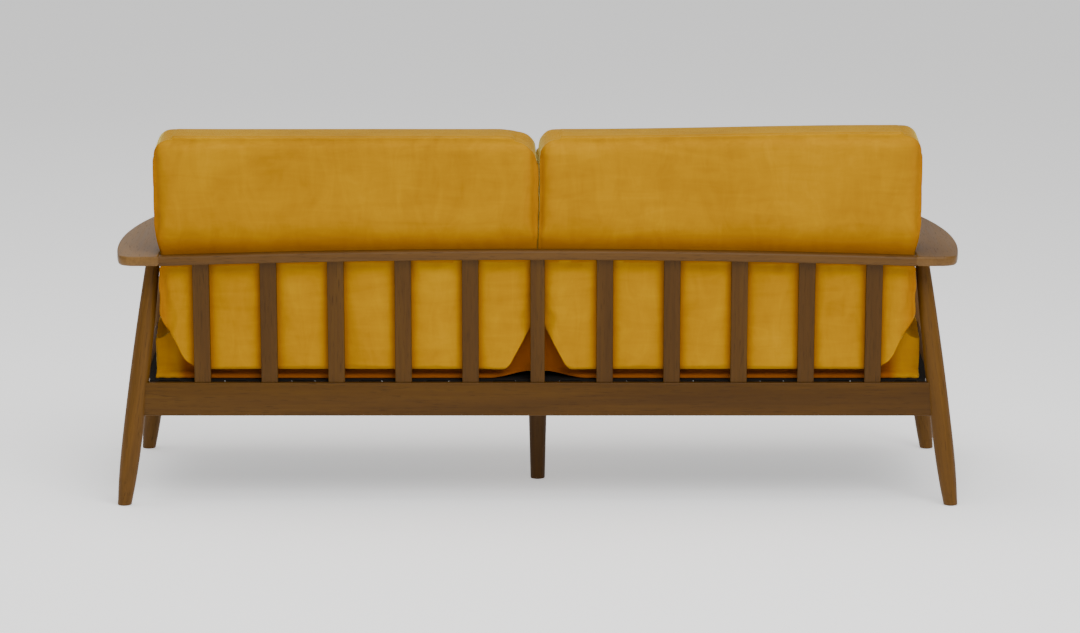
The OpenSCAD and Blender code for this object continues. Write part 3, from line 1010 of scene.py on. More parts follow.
@dataclass
class SeatFrame:
    """The rails round the seat, with eased edges."""

    shop: Workshop
    ease: float = 0.0022
    seed: float = 11.0

    def build(self) -> None:
        """Builds the four rails and dresses what is hidden under the seat."""
        plan = self.shop.plan
        self.cross_rail("rear_seat_rail", plan.rear_rail_y, plan.rail_top, self.seed)
        self.cross_rail("front_seat_rail", plan.front_rail_y, plan.front_rail_top, self.seed + 1)
        for side in Side:
            self.side_rail(side, self.seed + 3 + side.value)
        along = {"centre_bearer": Vector((0, 1, 0)), "corner_blocks": Vector((1, 1, 0))}
        for count, node in enumerate(("centre_bearer", "corner_blocks", "rail_dowels", "crest_dowels")):
            self.shop.grain_node(node, along.get(node, Vector((1, 0, 0))), self.seed + 6 + count, BEECH)

    def cross_rail(self, node: str, y: float, top: float, seed: float) -> bpy.types.Object:
        """Makes a rail across the sofa, let into the round legs at both ends.

        Args:
            node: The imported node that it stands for.
            y: The middle of its thickness.
            top: Its top edge.
            seed: Its place in the timber.

        Returns:
            The piece.
        """
        plan = self.shop.plan
        bm = bmesh.new()
        half = plan.rail_thickness / 2
        box(bm, (-1, y - half, top - plan.rail_height), (1, y + half, top))
        for vert in bm.verts:
            reach = plan.leg_x(vert.co.z) - half - plan.housing
            vert.co.x = math.copysign(reach, vert.co.x)
        soften(bm, [e for e in bm.edges if lies_along(e, 0)], self.ease)
        self.shop.grain(bm, Vector((1, 0, 0)), seed)
        return self.shop.piece(f"{node}_board", bm, SHADED_WALNUT, "walnut", "frame", [node])

    def side_rail(self, side: Side, seed: float) -> bpy.types.Object:
        """Makes the rail between a front and a rear leg, leaning as they do.

        Args:
            side: Its side.
            seed: Its place in the timber.

        Returns:
            The piece.
        """
        plan = self.shop.plan
        node = f"side_rail_{side.word}"
        bm = bmesh.new()
        half = plan.rail_thickness / 2
        box(bm, (-half, -1, 0), (half, 1, 1))
        for vert in bm.verts:
            rear, up = vert.co.y > 0, vert.co.z > 0.5
            top = plan.rail_top if rear else plan.front_rail_top
            z = top if up else top - plan.rail_height
            reach = plan.leg_reach(z) - half - plan.housing
            vert.co.y = (reach if rear else -reach) + plan.shift
            vert.co.z = z / math.cos(plan.splay)
        bm.transform(
            Matrix.Translation((side.value * plan.leg_x(0), 0, 0)) @ Matrix.Rotation(-side.value * plan.splay, 4, "Y")
        )
        soften(bm, [e for e in bm.edges if lies_along(e, 1)], self.ease)
        self.shop.grain(bm, Vector((0, 1, 0)), seed)
        return self.shop.piece(f"{node}_board", bm, SHADED_WALNUT, "walnut", "frame", [node])


@dataclass
class SlattedBack:
    """The upright slats and the arched crest rail that they stand under."""

    shop: Workshop
    ease: float = 0.0018
    let_in: float = 0.004
    crest_cuts: int = 33
    rear_round: float = 0.0065
    front_round: float = 0.0030
    slat_seed: float = 20.0
    crest_seed: float = 40.0

    def build(self) -> None:
        """Builds the slats and the crest rail."""
        for index in range(1, self.shop.plan.slat_count + 1):
            self.slat(index)
        self.crest()

    def slat(self, index: int) -> bpy.types.Object:
        """Makes one slat, leaning back with its ends let into both rails.

        Args:
            index: Its number from the left, from 1.

        Returns:
            The piece.
        """
        plan = self.shop.plan
        x, half = plan.slat_x(index), plan.slat_w(index) / 2
        low, high = plan.rail_top - self.let_in, plan.arm_bottom + plan.crest_lift(x) + self.let_in
        through = plan.slat_thickness / math.cos(plan.recline)
        bm = bmesh.new()
        box(bm, (x - half, 0, low), (x + half, through, high))
        for vert in bm.verts:
            vert.co.y += plan.back_y(vert.co.z)
        soften(bm, [e for e in bm.edges if lies_along(e, 2)], self.ease)
        up = Vector((0, math.sin(plan.recline), math.cos(plan.recline)))
        self.shop.grain(bm, up, self.slat_seed + index)
        node = f"back_slat_{index}"
        return self.shop.piece(f"{node}_board", bm, SHADED_WALNUT, "walnut", "frame", [node])

    def crest(self) -> bpy.types.Object:
        """Makes the crest rail: an arched board, rounded on the rear and eased on the front.

        Returns:
            The piece.
        """
        plan = self.shop.plan
        bm = bmesh.new()
        box(bm, (-plan.arm_inner, 0, plan.arm_bottom), (plan.arm_inner, 1, plan.arm_height))
        long = [e for e in bm.edges if lies_along(e, 0)]
        bmesh.ops.subdivide_edges(bm, edges=long, cuts=self.crest_cuts, use_grid_fill=True)
        for vert in bm.verts:
            vert.co.z += plan.crest_lift(vert.co.x)
            vert.co.y = plan.crest_rear if vert.co.y > 0.5 else plan.back_y(vert.co.z)
        rear = [e for e in bm.edges if lies_along(e, 0) and e.verts[0].co.y > plan.crest_rear - CLOSE]
        soften(bm, rear, self.rear_round, 5)
        front = [
            e
            for e in bm.edges
            if lies_along(e, 0) and all(abs(v.co.y - plan.back_y(v.co.z)) < CLOSE for v in e.verts)
        ]
        soften(bm, front, self.front_round)
        self.shop.grain(bm, Vector((1, 0, 0)), self.crest_seed)
        return self.shop.piece("crest_rail_board", bm, SHADED_CREST_WALNUT, "walnut", "frame", ["crest_rail"])


@dataclass
class PaddleArms:
    """The flat arms: straight inside, a long bow outside, and rounded ends."""

    shop: Workshop
    rear_corner: float = 0.030
    tip_corner: float = 0.017
    bow_steps: int = 22
    corner_steps: int = 8
    top_round: float = 0.0045
    under_round: float = 0.0075
    round_steps: int = 4
    seed: float = 50.0

    def build(self) -> None:
        """Builds both arms."""
        for side in Side:
            self.arm(side)

    def bow_x(self, y: float) -> float:
        """Where the outer edge is at y."""
        plan = self.shop.plan
        return plan.arm_outer - (y - (plan.crest_rear - plan.arm_widest_at)) ** 2 / (2 * plan.arm_edge_r)

    def arm(self, side: Side) -> bpy.types.Object:
        """Saws out one arm and rounds its edges.

        Args:
            side: Its side.

        Returns:
            The piece.
        """
        plan = self.shop.plan
        bm = bmesh.new()
        z = plan.arm_bottom
        start, stop = plan.crest_rear - 2 * self.rear_corner, plan.arm_tip + 2 * self.tip_corner
        first = bm.verts.new((0, start, z))
        step = Vector((0, (stop - start) / self.bow_steps, 0))
        bmesh.ops.spin(bm, geom=[first], cent=(0, 0, 0), dvec=step, axis=(0, 0, 1), angle=0, steps=self.bow_steps)
        for vert in bm.verts:
            vert.co.x = self.bow_x(vert.co.y)
        bow = sorted(bm.verts, key=lambda v: -v.co.y)
        corners = {
            "rear_inner": bm.verts.new((plan.arm_inner, plan.crest_rear, z)),
            "rear_outer": bm.verts.new((self.bow_x(plan.crest_rear), plan.crest_rear, z)),
            "tip_outer": bm.verts.new((self.bow_x(plan.arm_tip), plan.arm_tip, z)),
            "tip_inner": bm.verts.new((plan.arm_inner, plan.arm_tip, z)),
        }
        bm.edges.new((corners["rear_outer"], bow[0]))
        rest = [bow[-1], corners["tip_outer"], corners["tip_inner"], corners["rear_inner"], corners["rear_outer"]]
        for pair in zip(rest, rest[1:]):
            bm.edges.new(pair)
        bmesh.ops.contextual_create(bm, geom=bm.edges[:])
        for names, radius in ((("rear_outer",), self.rear_corner), (("tip_outer", "tip_inner"), self.tip_corner)):
            bmesh.ops.bevel(
                bm,
                geom=[corners[n] for n in names],
                offset=radius,
                offset_type="OFFSET",
                segments=self.corner_steps,
                profile=0.5,
                affect="VERTICES",
                material=-1,
            )
        bmesh.ops.recalc_face_normals(bm, faces=bm.faces)
        lifted = bmesh.ops.extrude_face_region(bm, geom=bm.faces[:])
        top = [v for v in lifted["geom"] if isinstance(v, bmesh.types.BMVert)]
        bmesh.ops.translate(bm, verts=top, vec=(0, 0, plan.arm_thickness))
        if side is Side.LEFT:
            bmesh.ops.scale(bm, vec=(-1, 1, 1), verts=bm.verts)
        bmesh.ops.recalc_face_normals(bm, faces=bm.faces)
        for level, radius in ((plan.arm_height, self.top_round), (plan.arm_bottom, self.under_round)):
            rim = [e for e in bm.edges if all(abs(v.co.z - level) < CLOSE for v in e.verts)]
            soften(bm, rim, radius, self.round_steps)
        self.shop.grain(bm, Vector((0, 1, 0)), self.seed + side.value)
        node = f"arm_{side.word}"
        return self.shop.piece(f"{node}_board", bm, LIT_ARM_WALNUT, "walnut", "frame", [node])


# ------------------------------------------------------------------ seat platform


@dataclass
class Platform:
    """The webbing, the cloth over it, and the hardware under the seat."""

    shop: Workshop
    side_hem: float = 0.006
    hem: float = 0.007
    notch_depth: float = 0.027
    leg_gap: float = 0.0015
    columns: int = 330
    rows: int = 60
    thickness: float = 0.0008
    lie: float = 0.0023
    strap_count: int = 12
    strap_width: float = 0.050
    strap_edge: float = 0.002
    sag: float = 0.0018
    hem_drop: float = 0.0021
    hem_reach: float = 0.02

    def build(self) -> None:
        """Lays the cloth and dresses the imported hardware."""
        self.deck_cloth()
        for node, finish in {
            "seat_webbing": WEBBING,
            "webbing_clips": CLIP_STEEL,
            "corner_block_screws": ZINC,
            "centre_leg_plate": ZINC,
            "centre_leg_bolt": ZINC,
            "foot_glides": NYLON,
        }.items():
            self.shop.dress_node(node, finish)

    def deck_cloth(self) -> bpy.types.Object:
        """Lays one sheet on the straps, cut away round the legs, with a slight dip between straps.

        Returns:
            The piece.
        """
        plan = self.shop.plan
        low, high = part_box("deck_cloth")
        half = high.x + self.side_hem
        matrix = plan.seat_matrix()
        inverse = matrix.inverted()
        near = (inverse @ Vector((0, high.y, low.z))).y + self.hem
        far = (inverse @ Vector((0, low.y, high.z))).y - self.hem
        depth = near - far
        bm = bmesh.new()
        bmesh.ops.create_grid(bm, x_segments=self.columns, y_segments=self.rows, size=0.5)
        bm.transform(Matrix.Translation((0, (near + far) / 2, 0)) @ Matrix.Diagonal((2 * half, depth, 1, 1)))
        levels = {End.REAR: plan.rail_top, End.FRONT: plan.front_rail_top}
        clear_x = {end: plan.leg_x(z) - plan.leg_radius(z) - self.leg_gap for end, z in levels.items()}
        self.notch(bm, near, far, clear_x)
        self.drape(bm, near, far)
        bmesh.ops.solidify(bm, geom=bm.faces[:], thickness=-self.thickness)
        bm.transform(matrix)
        made = self.shop.piece("deck_cloth_sheet", bm, DECK_CLOTH, "deck_cloth", "frame", ["deck_cloth"])
        area = 2 * half * depth - 2 * self.notch_depth * sum(half - reach for reach in clear_x.values())
        return made

    def notch(self, bm: bmesh.types.BMesh, near: float, far: float, clear_x: dict[End, float]) -> None:
        """Cuts the cloth's corners away round the legs.

        Args:
            bm: The cloth, flat in the seat plane.
            near: Its rear edge.
            far: Its front edge.
            clear_x: How far out the cloth may reach beside each end's legs.
        """
        rear, front = near - self.notch_depth, far + self.notch_depth
        cuts = [((side.value * reach, 0, 0), (1, 0, 0)) for side in Side for reach in clear_x.values()]
        cuts += [((0, y, 0), (0, 1, 0)) for y in (rear, front)]
        for point, normal in cuts:
            bmesh.ops.bisect_plane(bm, geom=[*bm.verts, *bm.edges, *bm.faces], plane_co=point, plane_no=normal)
        corners = []
        for face in bm.faces:
            c = face.calc_center_median()
            end = End.REAR if c.y > (near + far) / 2 else End.FRONT
            if abs(c.x) > clear_x[end] and not front <= c.y <= rear:
                corners.append(face)
        bmesh.ops.delete(bm, geom=corners, context="FACES")

    def drape(self, bm: bmesh.types.BMesh, near: float, far: float) -> None:
        """Lets the cloth dip between the straps and droop at its hems.

        Args:
            bm: The cloth, flat in the seat plane.
            near: Its rear edge.
            far: Its front edge.
        """
        low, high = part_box("seat_webbing")
        half = self.strap_width / 2
        pitch = (high.x - low.x - self.strap_width) / (self.strap_count - 1)
        for vert in bm.verts:
            from_strap = abs((vert.co.x - low.x - half + pitch / 2) % pitch - pitch / 2) - half
            between = min(1.0, max(0.0, from_strap) / (pitch / 2 - half))
            dip = self.sag * math.sin(between * math.pi / 2) ** 2
            beside = min(1.0, max(0.0, from_strap + self.strap_edge) / self.strap_edge)
            from_hem = max(0.0, min(near - vert.co.y, vert.co.y - far))
            droop = self.hem_drop * beside * max(0.0, 1 - from_hem / self.hem_reach)
            vert.co.z = self.lie - max(dip, droop)


# ------------------------------------------------------------------ cushions


def smooth_step(value: np.ndarray, low: float, high: float) -> np.ndarray:
    """A smooth rise from 0 at low to 1 at high.

    Args:
        value: The values.
        low: Where the rise starts.
        high: Where it ends.

    Returns:
        The rise for each value.
    """
    t = np.clip((value - low) / (high - low), 0.0, 1.0)
    return t * t * (3 - 2 * t)


def fading(away: np.ndarray, reach: float) -> np.ndarray:
    """A bell-shaped fall from 1 where away is 0, with about a third left at reach."""
    return np.exp(-((away / reach) ** 2))


def held_below(value: np.ndarray, limit: Union[float, np.ndarray], soft: float = 0.003) -> np.ndarray:
    """Values pressed softly against an upper limit.

    Args:
        value: The values.
        limit: The limit, or one for each value.
        soft: How gradually the pressing starts.

    Returns:
        The values, none above its limit.
    """
    room = (limit - value) / soft
    return limit - soft * np.where(room > FAR_OFF, room, np.log1p(np.exp(np.minimum(room, FAR_OFF))))


def held_above(value: np.ndarray, limit: Union[float, np.ndarray], soft: float = 0.003) -> np.ndarray:
    """Values pressed softly against a lower limit, as held_below does against an upper one."""
    return -held_below(-value, -limit, soft)


def seam(away: np.ndarray) -> np.ndarray:
    """The height of a topstitched seam: a thin ridge between two shallow hollows.

    Args:
        away: Distance from the seam.

    Returns:
        The height for each distance.
    """
    return SEAM_RIDGE * fading(away, SEAM_WIDTH) - SEAM_HOLLOW * fading(away - SEAM_OFFSET, SEAM_HOLLOW_WIDTH)


def rounded_corner(
    a: np.ndarray, b: np.ndarray, corner: tuple[float, float], inward: tuple[int, int], radius: float
) -> tuple[np.ndarray, np.ndarray]:
    """Brings points in a square corner back onto a round one.

    Args:
        a: First coordinates.
        b: Second coordinates.
        corner: Where the square corner is.
        inward: The signs of the way in from it.
        radius: The round's radius.

    Returns:
        The new coordinates.
    """
    centre = (corner[0] + inward[0] * radius, corner[1] + inward[1] * radius)
    da, db = (centre[0] - a) * inward[0], (centre[1] - b) * inward[1]
    away = np.hypot(da, db)
    held = held_below(away, radius, soft=0.004)
    share = np.where((da > 0) & (db > 0) & (away > TINY), held / np.maximum(away, TINY), 1.0)
    return centre[0] - inward[0] * da * share, centre[1] - inward[1] * db * share


@dataclass
class ZipFastener:
    """A metal-toothed zip on a woven tape."""

    shop: Workshop
    node: str
    body: str
    tape_width: float = 0.016
    tape_step: float = 0.006
    tape_rows: int = 4
    tape_lift: float = 0.0008
    tape_thickness: float = 0.0012
    pitch: float = 0.0045
    tooth: tuple[float, float, float] = (0.0018, 0.0052, 0.0016)
    tooth_lift: float = 0.0014
    tooth_shift: float = 0.0011
    slider: tuple[float, float, float] = (0.011, 0.0085, 0.0026)
    slider_at: float = 0.035
    slider_lift: float = 0.0034
    puller: tuple[float, float, float] = (0.022, 0.0050, 0.0012)
    puller_reach: float = 0.016
    puller_lift: float = 0.0004
    search_from: float = 0.05
    search_depth: float = 0.12

    def build(self, cushion: bpy.types.Object, start: Vector, stop: Vector, out: Vector) -> bpy.types.Object:
        """Lays the zip on a cushion.

        Args:
            cushion: The cushion's piece.
            start: One end of the zip.
            stop: The other end.
            out: The direction that its face looks in.

        Returns:
            The zip's teeth and slider; the tape is a piece of its own that goes with them.
        """
        tree = BVHTree.FromPolygons(
            [v.co.copy() for v in cushion.data.vertices], [tuple(p.vertices) for p in cushion.data.polygons]
        )
        along = (stop - start).normalized()
        across = out.cross(along).normalized()
        length = (stop - start).length

        def on_cover(point: Vector) -> Vector:
            """The cover's surface under a point, or the point itself where there is none."""
            hit = tree.ray_cast(point + out * self.search_from, -out, self.search_depth)[0]
            return hit if hit is not None else point

        tape = bmesh.new()
        bmesh.ops.create_grid(tape, x_segments=int(length / self.tape_step), y_segments=self.tape_rows, size=0.5)
        for vert in tape.verts:
            flat = start + along * (vert.co.x + 0.5) * length + across * vert.co.y * self.tape_width
            vert.co = on_cover(flat) + out * self.tape_lift
        bmesh.ops.solidify(tape, geom=tape.faces[:], thickness=self.tape_thickness)
        self.shop.piece(f"{self.node}_tape", tape, ZIP_TAPE, "zip", self.body, [self.node])
        bm = bmesh.new()
        for i in range(int(length / self.pitch)):
            middle = on_cover(start + along * (i + 0.5) * self.pitch) + out * self.tooth_lift
            shift = across * (self.tooth_shift if i % 2 else -self.tooth_shift)
            self.block(bm, middle + shift, along, across, out, self.tooth)
        head = on_cover(start + along * length * self.slider_at) + out * self.slider_lift
        self.block(bm, head, along, across, out, self.slider)
        grip = head + along * self.puller_reach + out * self.puller_lift
        self.block(bm, grip, along, across, out, self.puller)
        return self.shop.piece(f"{self.node}_teeth", bm, ZIP_METAL, "zip", self.body)

    def block(
        self, bm: bmesh.types.BMesh, middle: Vector, along: Vector, across: Vector, out: Vector, size: Sequence[float]
    ) -> None:
        """Adds one small block in the zip's own directions.

        Args:
            bm: The zip's shape.
            middle: The block's middle.
            along: The zip's direction.
            across: The tape's direction.
            out: The face's direction.
            size: The block's size along the three.
        """
        turn = Matrix((along, across, out)).transposed().to_4x4()
        bmesh.ops.create_cube(bm, size=1.0, matrix=Matrix.Translation(middle) @ turn @ Matrix.Diagonal((*size, 1.0)))


@dataclass
class Cushion:
    """A loose cushion: its packed foam, filled out by a cloth simulation, then sewn and settled.

    cap limits how far the filling moves a point outward, and pull how far inward or sideways.
    ease is how much smaller than the foam the blank starts at each side, and grow how much larger
    the filled shape is made at each side. fill, how full the cushion is, is not used.
    """

    shop: Workshop
    side: Side
    cap: float
    fill: float
    ease: tuple[float, float, float]
    grow: tuple[float, float, float]
    pull: float = 0.005
    voxel: float = 0.0085
    pressure: float = 4.5
    stiffness: float = 18.0
    shear: float = 5.0
    bending: float = 2.0
    damping: float = 8.0
    cloth_mass: float = 0.3
    quality: int = 5
    frames: int = 20
    kind: ClassVar[str]

    @property
    def body(self) -> str:
        """The body that the cushion is."""
        return f"{self.side.word}_{self.kind}_cushion"

    @property
    def cover(self) -> str:
        """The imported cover's name."""
        return f"{self.kind}_cushion_{self.side.word}"

    @property
    def foam(self) -> str:
        """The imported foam's name."""
        return f"{self.kind}_foam_{self.side.word}"

    @property
    def zip_node(self) -> str:
        """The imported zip's name."""
        return f"{self.kind}_zip_{self.side.word}"

    def build(self) -> bpy.types.Object:
        """Makes the cushion and its zip.

        Returns:
            The cushion.
        """
        start = self.blank()
        rest = self.points(start)
        filled = self.simulate(start)
        low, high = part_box(self.foam)
        middle, ratio = np.array((low + high) / 2), self.ratio()
        size = np.array(high - low)
        filled = (filled - middle) / ratio * (1 + 2 * np.array(self.grow) / size) + middle
        start.vertices.foreach_set("co", filled.astype(np.float32).ravel())
        stored = start.attributes.new("cut", "FLOAT_VECTOR", "POINT")
        stored.data.foreach_set("vector", ((rest - middle) / ratio + middle).astype(np.float32).ravel())
        mesh = self.through(start, "SUBSURF", levels=1, render_levels=1)
        cut = self.rows(mesh, mesh.attributes["cut"].data, "vector")
        shaped = self.sew(self.points(mesh), cut, self.normals(mesh))
        shaped = self.settle(shaped, cut)
        mesh.vertices.foreach_set("co", shaped.astype(np.float32).ravel())
        # Painted shade: the share of the shade tone stored on each point for the velvet.
        pressed = mesh.attributes.new("pressed", "FLOAT", "POINT")
        pressed.data.foreach_set("value", np.clip(self.pressed(shaped), 0, 1).astype(np.float32))
        mesh.update()
        mesh.shade_smooth()
        made = self.shop.place(f"{self.cover}_velvet", mesh, GOLD_VELVET, "velvet", self.body, [self.cover, self.foam])
        ZipFastener(self.shop, self.zip_node, self.body).build(made, *self.zip_line())
        return made

    def ratio(self) -> np.ndarray:
        """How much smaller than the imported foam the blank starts, by axis.

        Returns:
            A factor for x, y and z.
        """
        low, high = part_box(self.foam)
        size = np.array(high - low)
        return (size - 2 * np.array(self.ease)) / size

    def blank(self) -> bpy.types.Mesh:
        """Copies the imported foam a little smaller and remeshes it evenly.

        Returns:
            The blank's mesh.
        """
        low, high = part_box(self.foam)
        middle = (low + high) / 2
        bm = bmesh.new()
        bm.from_mesh(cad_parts[self.foam].data)
        bmesh.ops.remove_doubles(bm, verts=bm.verts, dist=CLOSE)
        shrink = Matrix.Diagonal((*self.ratio(), 1.0))
        bm.transform(Matrix.Translation(middle) @ shrink @ Matrix.Translation(-middle))
        mesh = bpy.data.meshes.new(f"{self.foam}_blank")
        bm.to_mesh(mesh)
        bm.free()
        return self.through(mesh, "REMESH", mode="VOXEL", voxel_size=self.voxel, use_smooth_shade=True)

    def through(self, mesh: bpy.types.Mesh, modifier: str, **settings: Any) -> bpy.types.Mesh:
        """Passes a mesh through one modifier.

        Args:
            mesh: The mesh.
            modifier: The modifier's type.
            **settings: Its properties.

        Returns:
            The new mesh.
        """
        carrier = bpy.data.objects.new("carrier", mesh)
        bpy.context.scene.collection.objects.link(carrier)
        added = carrier.modifiers.new("step", modifier)
        for key, value in settings.items():
            setattr(added, key, value)
        graph = bpy.context.evaluated_depsgraph_get()
        made = bpy.data.meshes.new_from_object(carrier.evaluated_get(graph), depsgraph=graph)
        bpy.data.objects.remove(carrier)
        return made

    def rows(self, mesh: bpy.types.Mesh, values: Any, key: str) -> np.ndarray:
        """One vector for each of a mesh's vertices, as rows of x, y and z.

        Args:
            mesh: The mesh.
            values: The collection that holds the vectors.
            key: The property's name there.

        Returns:
            The rows.
        """
        flat = np.zeros(len(mesh.vertices) * 3, np.float32)
        values.foreach_get(key, flat)
        return flat.reshape(-1, 3).astype(float)

    def points(self, mesh: bpy.types.Mesh) -> np.ndarray:
        """Where the mesh's vertices are."""
        return self.rows(mesh, mesh.vertices, "co")

    def normals(self, mesh: bpy.types.Mesh) -> np.ndarray:
        """The mesh's vertex normals."""
        return self.rows(mesh, mesh.vertex_normals, "vector")

    def simulate(self, mesh: bpy.types.Mesh) -> np.ndarray:
        """Fills the blank with air as cloth, and limits how far any point moves.

        Args:
            mesh: The blank.

        Returns:
            The filled shape's vertices.
        """
        rest = self.points(mesh)
        carrier = bpy.data.objects.new("filling", mesh.copy())
        scene = bpy.context.scene
        scene.collection.objects.link(carrier)
        cloth = carrier.modifiers.new("filling", "CLOTH")
        cloth.settings.quality = self.quality
        cloth.settings.mass = self.cloth_mass
        cloth.settings.tension_stiffness = self.stiffness
        cloth.settings.compression_stiffness = self.stiffness
        cloth.settings.shear_stiffness = self.shear
        cloth.settings.bending_stiffness = self.bending
        cloth.settings.tension_damping = self.damping
        cloth.settings.use_pressure = True
        cloth.settings.uniform_pressure_force = self.pressure
        cloth.settings.effector_weights.gravity = 0.0
        cloth.collision_settings.use_collision = False
        cloth.point_cache.frame_start = 1
        cloth.point_cache.frame_end = self.frames
        for step in range(1, self.frames + 1):
            scene.frame_set(step)
        graph = bpy.context.evaluated_depsgraph_get()
        moved = self.points(carrier.evaluated_get(graph).to_mesh()) - rest
        bpy.data.objects.remove(carrier)
        scene.frame_set(1)
        normals = self.normals(mesh)
        outward = np.sum(moved * normals, axis=1, keepdims=True)
        sideways = moved - outward * normals
        slip = np.linalg.norm(sideways, axis=1, keepdims=True)
        LOG.info("%s: filled, swelled up to %.1f mm", self.cover, 1000 * float(outward.max()))
        limit = np.where(outward > 0, self.cap, self.pull)
        kept = limit * np.tanh(outward / limit) * normals
        return rest + kept + sideways * self.pull * np.tanh(slip / self.pull) / np.maximum(slip, 1e-9)

    def frame_of(self, points: np.ndarray) -> np.ndarray:
        """Takes points into the seat plane.

        Args:
            points: Points in the row frame.

        Returns:
            Each point's x, distance forward and height in the seat plane.
        """
        inverse = np.array(self.shop.plan.seat_matrix().inverted())
        local = points @ inverse[:3, :3].T + inverse[:3, 3]
        return local * FORWARD

    def unframe(self, local: np.ndarray) -> np.ndarray:
        """Takes seat-plane points, as frame_of gives them, back into the row frame."""
        matrix = np.array(self.shop.plan.seat_matrix())
        return (local * FORWARD) @ matrix[:3, :3].T + matrix[:3, 3]

    def sew(self, points: np.ndarray, cut: np.ndarray, normals: np.ndarray) -> np.ndarray:
        """Draws the seams in and puckers the cloth at them.

        Args:
            points: The filled shape.
            cut: Where each point was on the foam.
            normals: The filled shape's normals.

        Returns:
            The sewn shape.
        """
        raise NotImplementedError

    def settle(self, points: np.ndarray, cut: np.ndarray) -> np.ndarray:
        """Presses the shape against what it rests on and leans against.

        Args:
            points: The sewn shape.
            cut: Where each point was on the foam.

        Returns:
            The settled shape.
        """
        raise NotImplementedError

    def pressed(self, points: np.ndarray) -> np.ndarray:
        """How much painted shade falls on each point, from 0 to 1.

        Args:
            points: The settled shape.

        Returns:
            The share for each point.
        """
        raise NotImplementedError

    def zip_line(self) -> tuple[Vector, Vector, Vector]:
        """The zip's two ends and the direction that its face looks in."""
        raise NotImplementedError


